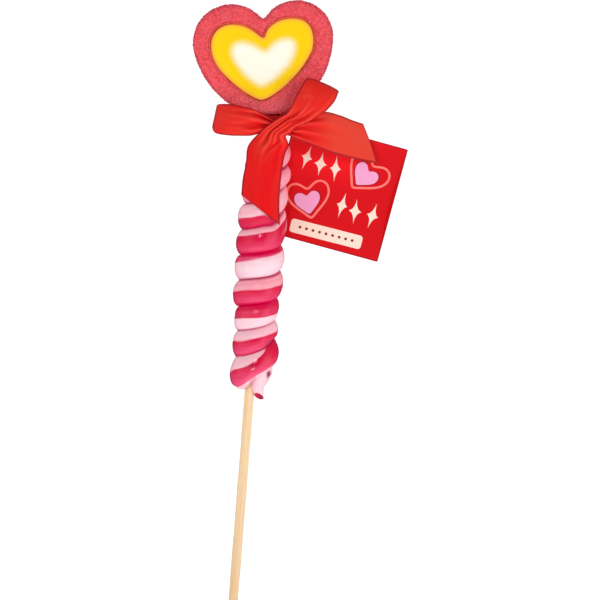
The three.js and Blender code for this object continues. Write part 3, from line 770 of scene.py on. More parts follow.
def heart_ring(o, count, inset=0.0):
    """Outline as an array of points (x, y), with its outward normals."""
    angle = 2 * np.pi * np.arange(count) / count
    r = heart_radius(o, angle)
    c, s = math.cos(HEART["turn"]), math.sin(HEART["turn"])
    x, y = r * np.cos(angle), r * np.sin(angle)
    p = np.stack([o["centre"][0] + x * c - y * s, o["centre"][1] + x * s + y * c], axis=1)
    t = np.roll(p, -1, axis=0) - np.roll(p, 1, axis=0)
    n = unit(np.stack([t[:, 1], -t[:, 0]], axis=1))
    for _ in range(6):  # evens the normals where the notch and the tip turn sharply
        n = unit(n + 0.5 * (np.roll(n, 1, axis=0) + np.roll(n, -1, axis=0)))
    return p - n * inset, n


def ring_with(o, count, inset, shift=0.0):
    return heart_ring(o, count, inset)[0]


def outline_distance(points, o, count=720):
    """Signed distance in millimetres from an outline, positive outside."""
    edge = heart_ring(o, count)[0]
    out = np.empty(len(points))
    for k in range(0, len(points), 4000):
        d = np.linalg.norm(points[k:k + 4000, None, :] - edge[None], axis=2)
        out[k:k + 4000] = d.min(1)
    x, y = points[:, 0] - o["centre"][0], points[:, 1] - o["centre"][1]
    c, s = math.cos(-HEART["turn"]), math.sin(-HEART["turn"])
    a, b = x * c - y * s, x * s + y * c
    inside = np.hypot(a, b) < heart_radius(o, np.arctan2(b, a))
    return np.where(inside, -out, out)


def dents(points, scale, seed):
    return np.array([noise.noise(Vector((p[0] / scale + seed, p[1] / scale, p[2] / scale))) for p in points])


def sugar_material():
    material, tree, shader = new_material("red_marshmallow_sugared")
    vector = object_vector(tree)
    coarse = noise_tex(tree, vector, 420.0, 3.0, 0.6)
    grain = noise_tex(tree, vector, 1500.0, 2.0, 0.7)
    spots = noise_tex(tree, vector, 800.0, 1.0, 0.5)
    colour = ramp(tree, coarse, [(0.34, srgb(233, 66, 80)), (0.5, srgb(244, 84, 92)), (0.66, srgb(251, 102, 110))])
    colour = blend(tree, calc(tree, "MULTIPLY", ramp(tree, grain, [(0.5, (0, 0, 0, 1)), (0.66, (1, 1, 1, 1))]), 0.4),
                   colour, srgb(255, 122, 132))
    colour = blend(tree, calc(tree, "MULTIPLY", ramp(tree, spots, [(0.3, (1, 1, 1, 1)), (0.42, (0, 0, 0, 1))]), 0.4),
                   colour, srgb(204, 40, 66))
    # painted light: the ring lightened near the bow, where its loops shade it
    colour = blend(tree, calc(tree, "MULTIPLY", attribute(tree, "painted_light_near_bow").outputs["Fac"], 0.9), colour, srgb(255, 126, 134))
    # painted shade on the rounded rim and outer wall
    colour = blend(tree, calc(tree, "MULTIPLY", attribute(tree, "rim").outputs["Fac"], 0.85), colour, srgb(172, 48, 82))
    # painted shade of the groove where the red and yellow layers meet, on the ring's face and its groove walls
    colour = blend(tree, calc(tree, "MULTIPLY", attribute(tree, "beside").outputs["Fac"], 0.9), colour, srgb(180, 46, 34))
    colour = blend(tree, attribute(tree, "lip").outputs["Fac"], colour, srgb(232, 100, 66))
    tree.links.new(colour, shader.inputs["Base Color"])
    shader.inputs["Roughness"].default_value = 0.8
    shader.inputs["Specular IOR Level"].default_value = 0.3
    shader.inputs["Subsurface Weight"].default_value = 0.25
    shader.inputs["Subsurface Radius"].default_value = (1.0, 0.35, 0.3)
    shader.inputs["Subsurface Scale"].default_value = 0.0012
    bump(tree, shader, grain, 0.6, 0.00025)
    return material


def heart_outer():
    n = 600
    top, thick = HEART["thickness"], HEART["thickness"]
    outer, normal = heart_ring(OUTER, n, 0.3)
    inner, inner_n = heart_ring(MIDDLE, n)
    rings, rim, lip = [], [], []
    radius = 2.3
    arc = [math.pi / 2 * k / 9 for k in range(10)]

    # at_rim is how much painted shade a ring of the skin gets; at_lip how much painted groove colour
    def lay(xy, z, at_rim=0.0, at_lip=0.0):
        rings.append(np.column_stack([xy, np.broadcast_to(z, n)]))
        rim.append(at_rim)
        lip.append(at_lip)

    # up the outer wall, over the rounded rim, across the face, down the groove, and back below
    for z in np.linspace(radius, thick - radius, 30):
        lay(outer, z, 1.0)
    for a in arc[1:]:
        inset = radius * (1 - math.cos(a))
        lay(outer - normal * inset, thick - radius + radius * math.sin(a), float(1 - smooth(0.3, 0.85, a / (math.pi / 2))))
    face_from, face_to = outer - normal * radius, inner + inner_n * 0.7
    for t in np.linspace(0, 1, 26)[1:]:
        lay(lerp(face_from, face_to, t), top + 0.25 * math.sin(math.pi * t), 0.0, 0.25 * float(t > 0.99))
    for inset, drop in ((0.3, 0.04), (0.15, 0.14), (0.04, 0.34), (0.0, 0.9)):
        lay(inner + inner_n * inset, top - drop, 0.0, 0.85)
    for z in (14.0, 7.0, 1.4):
        lay(inner, z, 0.0, 0.9)
    for inset, rise in ((0.06, 0.7), (0.22, 0.32), (0.45, 0.1)):
        lay(inner + inner_n * inset, rise, 0.3)
    for t in np.linspace(1, 0, 14):
        lay(lerp(face_from, face_to, t), 0.0, 0.3)
    for a in arc[::-1][1:-1]:
        inset = radius * (1 - math.cos(a))
        lay(outer - normal * inset, radius - radius * math.sin(a), 0.8)
    m = len(rings)
    points = np.concatenate(rings)
    faces = grid_faces(m, n, wrap_rows=True, wrap_cols=True)
    # soft hollows and a grainy skin, not on the underside
    push = np.zeros_like(points)
    for i in range(m):
        a, b = rings[(i - 1) % m], rings[(i + 1) % m]
        along = b - a
        ring_t = np.roll(rings[i], -1, axis=0) - np.roll(rings[i], 1, axis=0)
        push[i * n:(i + 1) * n] = unit(np.cross(ring_t, along))
    soft = dents(points, 9.0, 3.1) * 0.28 + dents(points, 3.2, 7.7) * 0.1
    rough = dents(points, 0.62, 1.3) * 0.13 * (0.4 + 0.6 * smooth(17.2, 19.4, points[:, 2]))
    weight = smooth(0.4, 2.4, points[:, 2])
    points = points + push * ((soft + rough - 0.1) * weight)[:, None]
    points[:, 2] = np.maximum(points[:, 2], 0.0)
    # painted shade of the groove where the red ring meets the yellow layer, stronger towards the top
    beside = outline_distance(points[:, :2], MIDDLE)
    obj = make_object("heart_ring", points, faces, attributes={"rim": np.repeat(rim, n), "lip": np.repeat(lip, n),
                                  "beside": (0.55 + 0.45 * smooth(95, 108, points[:, 1])) * smooth(1.75, 0.7, beside) * smooth(18.0, 19.5, points[:, 2]),
                                  # painted light near the bow
                                  "painted_light_near_bow": smooth(93, 79, points[:, 1])},
                      materials=[sugar_material()])
    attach(obj, "root")
    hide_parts("heart_outer")
    return obj, points, push, m, n


def foam_material(name):
    """Yellow marshmallow that turns to white over a few millimetres at the inner outline."""
    material, tree, shader = new_material(name)
    vector = object_vector(tree)
    broad = noise_tex(tree, vector, 90.0, 2.0, 0.5)
    pores = noise_tex(tree, vector, 1300.0, 3.0, 0.65)
    edge = attribute(tree, "edge").outputs["Fac"]
    rim = attribute(tree, "rim").outputs["Fac"]
    edge = calc(tree, "ADD", edge, calc(tree, "MULTIPLY_ADD", broad, 1.2, -0.6))
    place = calc(tree, "MULTIPLY_ADD", edge, 0.125, 0.5, clamp=True)  # -4 to 4 mm
    yellow = blend(tree, calc(tree, "MULTIPLY_ADD", broad, 1.2, -0.3, clamp=True), srgb(254, 208, 0), srgb(254, 214, 10))
    orange = ramp(tree, calc(tree, "MULTIPLY", rim, 0.25, clamp=True),
                  [(0.0, (1, 1, 1, 1)), (0.16, (0.9, 0.9, 0.9, 1)), (0.3, (0.5, 0.5, 0.5, 1)),
                   (0.46, (0.14, 0.14, 0.14, 1)), (0.65, (0, 0, 0, 1))])
    yellow = blend(tree, calc(tree, "MULTIPLY", orange, 0.9), yellow, srgb(255, 177, 66))
    # painted shade of the groove where the red layer meets the yellow
    painted_groove_shade = ramp(tree, rim, [(0.2, (1, 1, 1, 1)), (0.7, (0, 0, 0, 1))])
    yellow = blend(tree, calc(tree, "MULTIPLY", painted_groove_shade, 0.85), yellow, srgb(230, 112, 56))
    white = ramp(tree, place, [(0.16, (1, 1, 1, 1)), (0.74, (0, 0, 0, 1))], "EASE")
    colour = blend(tree, white, yellow, srgb(255, 248, 230))
    tree.links.new(colour, shader.inputs["Base Color"])
    shader.inputs["Roughness"].default_value = 0.75
    shader.inputs["Specular IOR Level"].default_value = 0.2
    shader.inputs["Subsurface Weight"].default_value = 0.3
    shader.inputs["Subsurface Radius"].default_value = (1.0, 0.75, 0.3)
    shader.inputs["Subsurface Scale"].default_value = 0.0015
    bump(tree, shader, pores, 0.25, 0.0001)
    return material


def heart_inner():
    top = HEART["thickness"]
    n = 420
    outer, normal = heart_ring(MIDDLE, n, 0.05)
    core, core_n = heart_ring(CORE, n)
    r = 0.32
    arc = [math.pi / 2 * k / 6 for k in range(7)]

    def crown(xy):
        d = -outline_distance(xy, MIDDLE, 420)
        return 0.3 * smooth(0.5, 6.0, d)

    rings = []
    for z in np.linspace(r, top - r, 6):
        rings.append(np.column_stack([outer, np.full(n, z)]))
    for a in arc[1:]:
        rings.append(np.column_stack([outer - normal * r * (1 - math.cos(a)), np.full(n, top - r + r * math.sin(a))]))
    for t in np.linspace(0, 1, 24)[1:]:
        xy = lerp(outer - normal * r, core, t)
        rings.append(np.column_stack([xy, top + crown(xy)]))
    for z in (top - 1.0, 14.0, 6.0, 0.0):
        rings.append(np.column_stack([core, np.full(n, z)]))
    for t in np.linspace(1, 0, 8)[1:]:
        rings.append(np.column_stack([lerp(outer - normal * r, core, t), np.zeros(n)]))
    for a in arc[::-1][1:-1]:
        rings.append(np.column_stack([outer - normal * r * (1 - math.cos(a)), np.full(n, r - r * math.sin(a))]))
    points = np.concatenate(rings)
    faces = grid_faces(len(rings), n, wrap_rows=True, wrap_cols=True)
    lift = dents(points, 7.0, 5.2) * 0.16 + dents(points, 1.5, 2.2) * 0.03
    points[:, 2] += lift * smooth(10, 19, points[:, 2])
    attributes = {"edge": outline_distance(points[:, :2], CORE), "rim": -outline_distance(points[:, :2], MIDDLE)}
    band = make_object("heart_band", points, faces, attributes=attributes, materials=[foam_material("yellow_marshmallow")])
    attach(band, "root")
    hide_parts("heart_middle")

    centre = np.array(CORE["centre"])
    rings = []
    inside = core - core_n * 0.0
    for t in np.linspace(0.02, 1, 22):
        xy = lerp(centre, inside, t)
        rings.append(np.column_stack([xy, top + crown(xy)]))
    for z in (top - 1.0, 14.0, 6.0, 0.0):
        rings.append(np.column_stack([inside, np.full(n, z)]))
    for t in np.linspace(1, 0.02, 8)[1:]:
        rings.append(np.column_stack([lerp(centre, inside, t), np.zeros(n)]))
    points = np.concatenate(rings)
    faces = grid_faces(len(rings), n, wrap_cols=True, flip=True)
    points = np.concatenate([points, [[centre[0], centre[1], top + crown(centre[None])[0]], [centre[0], centre[1], 0]]])
    a = len(points) - 2
    last = (len(rings) - 1) * n
    for j in range(n):
        faces.append((j, (j + 1) % n, a))
        faces.append((last + j, a + 1, last + (j + 1) % n))
    lift = dents(points, 7.0, 5.2) * 0.16 + dents(points, 1.5, 2.2) * 0.03
    points[:, 2] += lift * smooth(10, 19, points[:, 2])
    attributes = {"edge": outline_distance(points[:, :2], CORE), "rim": -outline_distance(points[:, :2], MIDDLE)}
    middle = make_object("heart_centre", points, faces, attributes=attributes, materials=[foam_material("white_marshmallow")])
    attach(middle, "root")
    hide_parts("heart_core")
    return band, middle


def sugar_grains(points, push, m, n, count=9000):
    """Crystals of sugar stuck in the skin of the red ring."""
    grid_p = points.reshape(m, n, 3)
    grid_n = push.reshape(m, n, 3)
    u = (np.roll(grid_p, -1, axis=1) - grid_p)
    v = (np.roll(grid_p, -1, axis=0) - grid_p)
    area = np.linalg.norm(np.cross(u, v), axis=2)
    z = grid_p[:, :, 2]
    weight = area * smooth(0.6, 3.0, z) * (0.1 + 0.9 * smooth(17.4, 19.6, z))
    away = outline_distance(points[:, :2], MIDDLE).reshape(m, n)
    weight = weight * (0.12 + 0.88 * smooth(0.9, 1.7, away))
    weight = (weight / weight.sum()).ravel()
    chosen = rng.choice(m * n, size=count, p=weight)
    fu, fv = rng.random(count), rng.random(count)
    i, j = chosen // n, chosen % n
    at = grid_p[i, j] + u[i, j] * fu[:, None] + v[i, j] * fv[:, None]
    normal = grid_n[i, j]
    cube = np.array([(x, y, z) for x in (-1, 1) for y in (-1, 1) for z in (-1, 1)], float)
    quads = np.array([(0, 1, 3, 2), (4, 6, 7, 5), (0, 4, 5, 1), (2, 3, 7, 6), (0, 2, 6, 4), (1, 5, 7, 3)])
    size = 0.10 + 0.13 * rng.random(count) ** 1.6
    q = rng.normal(size=(count, 4))
    q /= np.linalg.norm(q, axis=1, keepdims=True)
    w, x, y, zz = q.T
    rot = np.stack([
        1 - 2 * (y * y + zz * zz), 2 * (x * y - zz * w), 2 * (x * zz + y * w),
        2 * (x * y + zz * w), 1 - 2 * (x * x + zz * zz), 2 * (y * zz - x * w),
        2 * (x * zz - y * w), 2 * (y * zz + x * w), 1 - 2 * (x * x + y * y)], axis=1).reshape(-1, 3, 3)
    shape = cube[None] * (size[:, None] * (0.75 + 0.5 * rng.random((count, 3))))[:, None, :]
    shape = shape * (0.85 + 0.3 * rng.random((count, 8, 1)))
    solid = np.einsum("nij,nkj->nki", rot, shape) + (at + normal * (size * 0.25)[:, None])[:, None, :]
    solid[:, :, 2] = np.maximum(solid[:, :, 2], 0.02)
    faces = (quads[None] + (np.arange(count) * 8)[:, None, None]).reshape(-1, 4)
    # painted shade and painted light: the crystals on the rounded rim are darker, those next to the bow lighter, over
    # their random tone
    shade = lerp(0.04, 0.14 + 0.7 * rng.random(count) + 0.16 * smooth(93, 80, at[:, 1]), smooth(18.0, 19.6, at[:, 2]))
    shade = np.repeat(shade, 8)

    material, tree, shader = new_material("sugar_crystal")
    tone = attribute(tree, "shade").outputs["Fac"]
    colour = ramp(tree, tone, [(0.0, srgb(186, 50, 82)), (0.12, srgb(234, 70, 84)), (0.5, srgb(250, 96, 106)), (0.85, srgb(255, 124, 132)), (1.0, srgb(255, 154, 160))])
    tree.links.new(colour, shader.inputs["Base Color"])
    shader.inputs["Roughness"].default_value = 0.5
    shader.inputs["Specular IOR Level"].default_value = 0.28
    shader.inputs["Subsurface Weight"].default_value = 0.3
    shader.inputs["Subsurface Scale"].default_value = 0.0004
    obj = make_object("sugar_grains", solid.reshape(-1, 3), faces, smooth_faces=False,
                      attributes={"shade": shade}, materials=[material])
    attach(obj, "root")
    return obj


# ------------------------------------------------------------------------------- the card
TAG = {"side": 50.3, "thickness": 0.4, "corner": (1.24, 29.83), "turn": math.radians(-10.9), "lift": 5.0,
       "hole": 2.2, "hole_inset": 5.4}


def card_place(a, b, z):
    t = TAG["turn"]
    b = b * 0.996
    share = b / TAG["side"]
    return (TAG["corner"][0] + math.cos(t) * a - math.sin(t) * b,
            TAG["corner"][1] + math.sin(t) * a + math.cos(t) * b,
            TAG["lift"] * share * share + z)


def print_heart(centre, width, turn, count=72):
    s = width / 32.0
    out = []
    for k in range(count):
        t = 2 * math.pi * k / count
        x = 16 * math.copysign(abs(math.sin(t)) ** 2.35, math.sin(t))
        y = 13 * math.cos(t) - 5 * math.cos(2 * t) - 2 * math.cos(3 * t) - math.cos(4 * t)
        out.append((centre[0] + s * (x * math.cos(turn) - y * math.sin(turn)),
                    centre[1] + s * (x * math.sin(turn) + y * math.cos(turn))))
    # evenly spaced, with a softly rounded point and notch
    out = np.array(out + [out[0]])
    run = np.concatenate([[0], np.cumsum(np.linalg.norm(np.diff(out, axis=0), axis=1))])
    even = np.linspace(0, run[-1], count, endpoint=False)
    out = np.stack([np.interp(even, run, out[:, 0]), np.interp(even, run, out[:, 1])], axis=1)
    for _ in range(8):
        out = (np.roll(out, 1, axis=0) + 2 * out + np.roll(out, -1, axis=0)) / 4
    return [tuple(q) for q in out]


def drawn_in(polygon, by):
    """The polygon moved inwards by a distance, without the loops this makes in sharp corners."""
    p = np.asarray(polygon, float)
    fine = np.concatenate([lerp(p, np.roll(p, -1, axis=0), t)[:, None] for t in (0.0, 0.25, 0.5, 0.75)], axis=1).reshape(-1, 2)
    along = np.roll(p, -1, axis=0) - np.roll(p, 1, axis=0)
    normal = unit(np.stack([-along[:, 1], along[:, 0]], axis=1))
    area = np.sum(p[:, 0] * np.roll(p[:, 1], -1) - np.roll(p[:, 0], -1) * p[:, 1])
    moved = p + normal * by * np.sign(area)
    near = np.linalg.norm(moved[:, None] - fine[None], axis=2).min(1)
    return [tuple(q) for q in moved[near > by * 0.93]]


def print_round(centre, radius, count=20):
    return [(centre[0] + radius * math.cos(2 * math.pi * k / count),
             centre[1] + radius * math.sin(2 * math.pi * k / count)) for k in range(count)]


def print_label(centre, width, height, corner, turn):
    out = []
    for sx, sy, start in ((1, 1, 0), (-1, 1, 90), (-1, -1, 180), (1, -1, 270)):
        for k in range(7):
            t = math.radians(start + 15 * k)
            x = sx * (width / 2 - corner) + corner * math.cos(t)
            y = sy * (height / 2 - corner) + corner * math.sin(t)
            out.append((centre[0] + x * math.cos(turn) - y * math.sin(turn),
                        centre[1] + x * math.sin(turn) + y * math.cos(turn)))
    return out


def print_sparkle(centre, height, width, turn, waist=0.13, count=10):
    """Four-pointed star with hollow sides."""
    tips = [(0, height / 2), (width / 2, 0), (0, -height / 2), (-width / 2, 0)]
    out = []
    for k in range(4):
        p, q = tips[k], tips[(k + 1) % 4]
        mid = ((p[0] + q[0]) * waist, (p[1] + q[1]) * waist)
        for i in range(count):
            t = i / count
            x = (1 - t) ** 2 * p[0] + 2 * t * (1 - t) * mid[0] + t * t * q[0]
            y = (1 - t) ** 2 * p[1] + 2 * t * (1 - t) * mid[1] + t * t * q[1]
            out.append((centre[0] + x * math.cos(turn) - y * math.sin(turn),
                        centre[1] + x * math.sin(turn) + y * math.cos(turn)))
    return out


def inside(polygon, p):
    polygon = np.asarray(polygon)
    x, y = polygon[:, 0], polygon[:, 1]
    x2, y2 = np.roll(x, -1), np.roll(y, -1)
    crosses = ((y > p[1]) != (y2 > p[1])) & (p[0] < (x2 - x) * (p[1] - y) / (y2 - y + 1e-12) + x)
    return bool(np.count_nonzero(crosses) % 2)


def card():
    side = TAG["side"]
    # printed shapes, each (outline, ink), a later one lies over an earlier one
    edge = 0.42
    shapes = [([(edge, edge), (side - edge, edge), (side - edge, side - edge), (edge, side - edge)], "red")]
    left, right = math.radians(22.8), math.radians(-29.0)
    for centre, width, turn, filling, fill_width in (
            ((14.4, 19.2), 19.5, left, (14.4, 17.4), 11.4), ((35.9, 36.3), 19.9, right, (35.3, 34.8), 11.4)):
        outline_heart = print_heart(centre, width, turn)
        shapes.append((outline_heart, "line"))
        shapes.append((drawn_in(outline_heart, 0.95), "red"))
        shapes.append((print_heart(filling, fill_width + 1.0, turn + 0.03), "dark"))
        shapes.append((print_heart(filling, fill_width, turn + 0.03), "fill"))
    for centre, height, width, turn in (
            ((9.15, 35.5), 11.2, 4.8, -0.12), ((15.6, 34.4), 10.4, 5.6, 0.05), ((22.3, 34.1), 11.4, 5.0, 0.14),
            ((29.2, 19.6), 11.6, 4.8, -0.05), ((35.3, 18.6), 10.6, 5.6, 0.1), ((43.0, 18.7), 11.4, 5.2, -0.1)):
        shapes.append((print_sparkle(centre, height, width, turn), "cream"))
    shapes.append((print_label((25.8, 5.9), 31.6, 5.9, 1.3, 0.015), "cream"))
    for k in range(9):
        shapes.append((print_round((14.2 + 2.9 * k, 5.9 + 0.015 * (2.9 * k - 11.6)), 0.62), "ink"))
    inks = ["red", "line", "fill", "cream", "ink", "edge", "dark"]

    verts, edges = [], []

    def outline(polygon):
        start = len(verts)
        verts.extend(Vector(p) for p in polygon)
        edges.extend((start + k, start + (k + 1) % len(polygon)) for k in range(len(polygon)))

    corner = 0.5
    border = []
    for cx, cy, start in ((side - corner, side - corner, 0), (corner, side - corner, 90),
                          (corner, corner, 180), (side - corner, corner, 270)):
        for k in range(5):
            t = math.radians(start + 22.5 * k)
            border.append((cx + corner * math.cos(t), cy + corner * math.sin(t)))
    outline(border)
    hole_at = (TAG["hole_inset"], side - TAG["hole_inset"])
    hole = print_round(hole_at, TAG["hole"], 32)
    outline(hole)
    for polygon, _ in shapes:
        outline(polygon)
    # a net of points so that the card can bend
    for i in range(1, 34):
        for j in range(1, 34):
            p = (side * i / 34, side * j / 34)
            if math.hypot(p[0] - hole_at[0], p[1] - hole_at[1]) > TAG["hole"] + 0.5:
                verts.append(Vector(p))
    co, _, tris, *_ = geometry.delaunay_2d_cdt(verts, edges, [], 0, 1e-5)
    kept, ink_of = [], []
    for tri in tris:
        c = sum((co[k] for k in tri), Vector((0, 0))) / 3
        if inside(hole, c) or not inside(border, c):
            continue
        ink = "dark"
        for polygon, colour in shapes:
            if inside(polygon, c):
                ink = colour
        kept.append(tuple(tri))
        ink_of.append(inks.index(ink))
    thick = TAG["thickness"]
    flat = np.array([(p[0], p[1]) for p in co])
    n = len(flat)
    curl = 0.10 * np.sin(flat[:, 0] / side * math.pi) + 0.05 * np.sin(flat[:, 0] * 0.11 + flat[:, 1] * 0.07)
    lower = [card_place(a, b, 0.0) for a, b in flat]
    upper = [card_place(a, b, thick) for a, b in flat]
    points = np.array(upper + lower)
    free = np.tile(smooth(0.05, 0.5, flat[:, 1] / side), 2)
    points[:, 2] += np.tile(curl, 2) * free
    faces, slots = [], []
    seen = {}
    for tri, ink in zip(kept, ink_of):
        a, b, c = tri
        if (co[b] - co[a]).cross(co[c] - co[a]) < 0:
            a, c = c, a
        faces.append((a, b, c))
        slots.append(ink)
        faces.append((a + n, c + n, b + n))
        slots.append(0)
        for p, q in ((a, b), (b, c), (c, a)):
            seen[(p, q)] = True
    for p, q in list(seen):
        if (q, p) not in seen:
            faces.append((p, p + n, q + n, q))
            slots.append(5)
    used = sorted({k for f in faces for k in f})
    index = {k: i for i, k in enumerate(used)}
    points = points[used]
    faces = [tuple(index[k] for k in f) for f in faces]
    flat2 = np.concatenate([flat, flat])[used]

    # painted light: the red print is lighter towards the corner with the hole, against the ribbon's shadow and for a
    # soft sheen there
    paler = smooth(22, 42, flat2[:, 1]) * smooth(42, 22, flat2[:, 0])

    def ink_material(name, base, other, roughness=0.42, mottling=0.5, light=None):
        material, tree, shader = new_material(name)
        vector = object_vector(tree)
        broad = noise_tex(tree, vector, 60.0, 2.0, 0.5)
        fibre = noise_tex(tree, vector, 2600.0, 3.0, 0.6)
        factor = calc(tree, "MULTIPLY_ADD", broad, 1.6 * mottling, 0.5 - 0.8 * mottling, clamp=True)
        colour = blend(tree, factor, srgb(*base), srgb(*other))
        colour = blend(tree, calc(tree, "MULTIPLY", fibre, 0.12), colour, srgb(*[min(255, v + 18) for v in other]))
        # painted light: the print made lighter by the corner mask
        if light:
            colour = blend(tree, attribute(tree, "paler").outputs["Fac"], colour, srgb(*light))
        tree.links.new(colour, shader.inputs["Base Color"])
        shader.inputs["Roughness"].default_value = roughness
        shader.inputs["Specular IOR Level"].default_value = 0.18
        bump(tree, shader, fibre, 0.12, 0.00004)
        return material

    materials = [
        ink_material("card_red", (208, 2, 15), (220, 6, 20), light=(250, 18, 32)),
        ink_material("card_line", (255, 118, 112), (255, 130, 120)),
        ink_material("card_fill", (250, 160, 202), (236, 168, 208), mottling=1.4),
        ink_material("card_cream", (255, 229, 208), (255, 223, 208)),
        ink_material("card_ink", (150, 48, 44), (132, 34, 38)),
        ink_material("card_edge", (168, 26, 34), (140, 16, 26), roughness=0.8),
        ink_material("card_dark", (168, 2, 24), (158, 4, 26)),
    ]
    obj = make_object("tag_card", points, faces, smooth_faces=False, attributes={"paler": paler},
                      materials=materials, face_materials=slots)
    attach(obj, "root")
    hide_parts("gift_tag")
    return card_place(hole_at[0], hole_at[1], 0)


# ----------------------------------------------------------------------------- the ribbon
RIBBON = {"width": 17.0, "thickness": 0.3, "cut": 5.7}


def gather(k, tones):
    """Uneven pleats across the ribbon: a few waves of different breadth, about 1 high."""
    bent = k + 0.13 * np.sin(2.3 * k + tones[0]) + 0.05 * np.sin(5.1 * k + 2 * tones[0])
    out = np.zeros_like(k)
    for waves, share, phase in tones[1:]:
        out = out + share * np.cos(math.pi * waves * bent + phase)
    return out


def pleat_height(half, shape, limit):
    """Height that the pleats need, so that the gathered ribbon keeps its own width."""
    k = np.linspace(-1, 1, len(shape))
    low, high = 0.0, limit
    for _ in range(16):
        mid = (low + high) / 2
        run = np.sum(np.hypot(np.diff(k) * half, mid * np.diff(shape)))
        low, high = (mid, high) if run < RIBBON["width"] else (low, mid)
    return (low + high) / 2


def band(stations, rows, tones, limit=1.3, side=1, extra=None, cols=55, start_v=0.0, painted_sheen=((0, 0.3),), lean=0.0,
         patches=(), tail=0.5, turn=None):
    """One stretch of ribbon as a closed thin skin, through pairs of points on its two edges.
    A station is (left edge, right edge, share of pleats, crown)."""
    left = np.array([q[0] for q in stations], float)
    right = np.array([q[1] for q in stations], float)
    scalars = np.array([[q[2], q[3]] for q in stations], float)
    middle = (left + right) / 2
    knots = np.concatenate([[0], np.cumsum(np.linalg.norm(np.diff(middle, axis=0), axis=1) ** 0.75)])

    def curve(values, t):
        h = np.diff(knots)
        d = np.diff(values, axis=0) / h[:, None]
        m = np.empty_like(values)
        m[0], m[-1] = d[0], d[-1]
        m[1:-1] = (d[:-1] * h[1:, None] + d[1:] * h[:-1, None]) / (h[1:] + h[:-1])[:, None]
        i = np.clip(np.searchsorted(knots, t, side="right") - 1, 0, len(h) - 1)
        x = ((t - knots[i]) / h[i])[:, None]
        hh = h[i][:, None]
        return ((2 * x ** 3 - 3 * x ** 2 + 1) * values[i] + (x ** 3 - 2 * x ** 2 + x) * hh * m[i]
                + (-2 * x ** 3 + 3 * x ** 2) * values[i + 1] + (x ** 3 - x ** 2) * hh * m[i + 1])

    fine = np.linspace(0, knots[-1], 2400)
    path = curve(middle, fine)
    run = np.concatenate([[0], np.cumsum(np.linalg.norm(np.diff(path, axis=0), axis=1))])
    t = np.interp(np.linspace(0, run[-1], rows), run, fine)
    v = np.linspace(0, run[-1], rows)
    L, R = curve(left, t), curve(right, t)
    fold = np.interp(t, knots, scalars[:, 0])
    crown = np.interp(t, knots, scalars[:, 1])
    for _ in range(10):
        fold[1:-1] = (fold[:-2] + 2 * fold[1:-1] + fold[2:]) / 4
        crown[1:-1] = (crown[:-2] + 2 * crown[1:-1] + crown[2:]) / 4
    place = np.interp(t, knots, np.arange(len(stations)))
    mid = (L + R) / 2
    along = unit(np.gradient(mid, axis=0))
    k = np.linspace(-1, 1, cols)
    surface = np.empty((rows, cols, 3))
    for i in range(rows):
        chord = R[i] - L[i]
        half = np.linalg.norm(chord) / 2
        n = unit(np.cross(chord, along[i])) * side
        shifted = [tones[0] + 0.35 * math.sin(0.9 * place[i])]
        shifted += [(w, a, ph + 0.25 * math.sin(0.7 * place[i] + w)) for w, a, ph in tones[1:]]
        shape = gather(k, shifted)
        height = pleat_height(half, shape, limit) * fold[i] * shape + crown[i] * (1 - k * k)
        if extra is not None:
            height = height + extra(place[i], k)
        surface[i] = mid[i] + np.outer(k * half, unit(chord)) + np.outer(height, n)
    if turn is not None:
        # the fold at a loop's end, with its round corners: (place, length, bulge, rounding left, right)
        p0, long, bulge, round_left, round_right = turn
        near = np.exp(-((place - p0) / long) ** 2)[:, None, None]
        i = int(np.argmin(np.abs(place - p0)))
        across_end = unit((R[i] - L[i]) * (1, 1, 0))
        out = np.array([-across_end[1], across_end[0], 0.0])
        out = out if np.dot(out, mid[i] - mid[0]) > 0 else -out
        at_left, at_right = np.clip(-k, 0, 1) ** 7, np.clip(k, 0, 1) ** 7
        shift = (np.outer(bulge * (1 - k * k) - 0.4 * (round_left * at_left + round_right * at_right), out)
                 + np.outer(round_left * at_left - round_right * at_right, across_end))
        surface = surface + near * shift[None]
    du = np.gradient(surface, axis=1)
    dv = np.gradient(surface, axis=0)
    normal = unit(np.cross(du, dv))
    half_t = RIBBON["thickness"] / 2
    count = rows * cols
    cloth = np.stack([np.tile(k * RIBBON["width"] / 2, (rows, 1)),
                      np.tile(v[:, None], (1, cols)) + start_v, np.zeros((rows, cols))], axis=2)
    points = np.concatenate([(surface + normal * half_t).reshape(-1, 3), (surface - normal * half_t).reshape(-1, 3)])
    faces = grid_faces(rows, cols) + grid_faces(rows, cols, start=count, flip=True)
    for i in range(rows - 1):
        p, q = i * cols, (i + 1) * cols
        faces.append((p, q, q + count, p + count))
        p, q = i * cols + cols - 1, (i + 1) * cols + cols - 1
        faces.append((p, p + count, q + count, q))
    for j in range(cols - 1):
        faces.append((j, j + count, j + 1 + count, j + 1))
        p = (rows - 1) * cols + j
        faces.append((p, p + 1, p + 1 + count, p + count))
    # where the satin gets painted sheen, where it is hemmed or gets painted shade at a loop's turn, and how sharply it
    # folds
    at, across = np.meshgrid(place, k, indexing="ij")
    sheen_amount = np.interp(at - lean * across, [q[0] for q in painted_sheen], [q[1] for q in painted_sheen])
    for p0, k0, long, broad, amount in patches:
        sheen_amount = sheen_amount + amount * np.exp(-((at - p0) / long) ** 2 - ((across - k0) / broad) ** 2)
    hem_and_fold_shade = np.tile((run[-1] - v < tail)[:, None], (1, cols)).astype(float)
    # painted shade where a loop turns over at its end, kept with the dark edge of the cut end
    if turn is not None:
        hem_and_fold_shade = np.maximum(hem_and_fold_shade, np.exp(-((at - turn[0] - 0.1) / 0.46) ** 2))
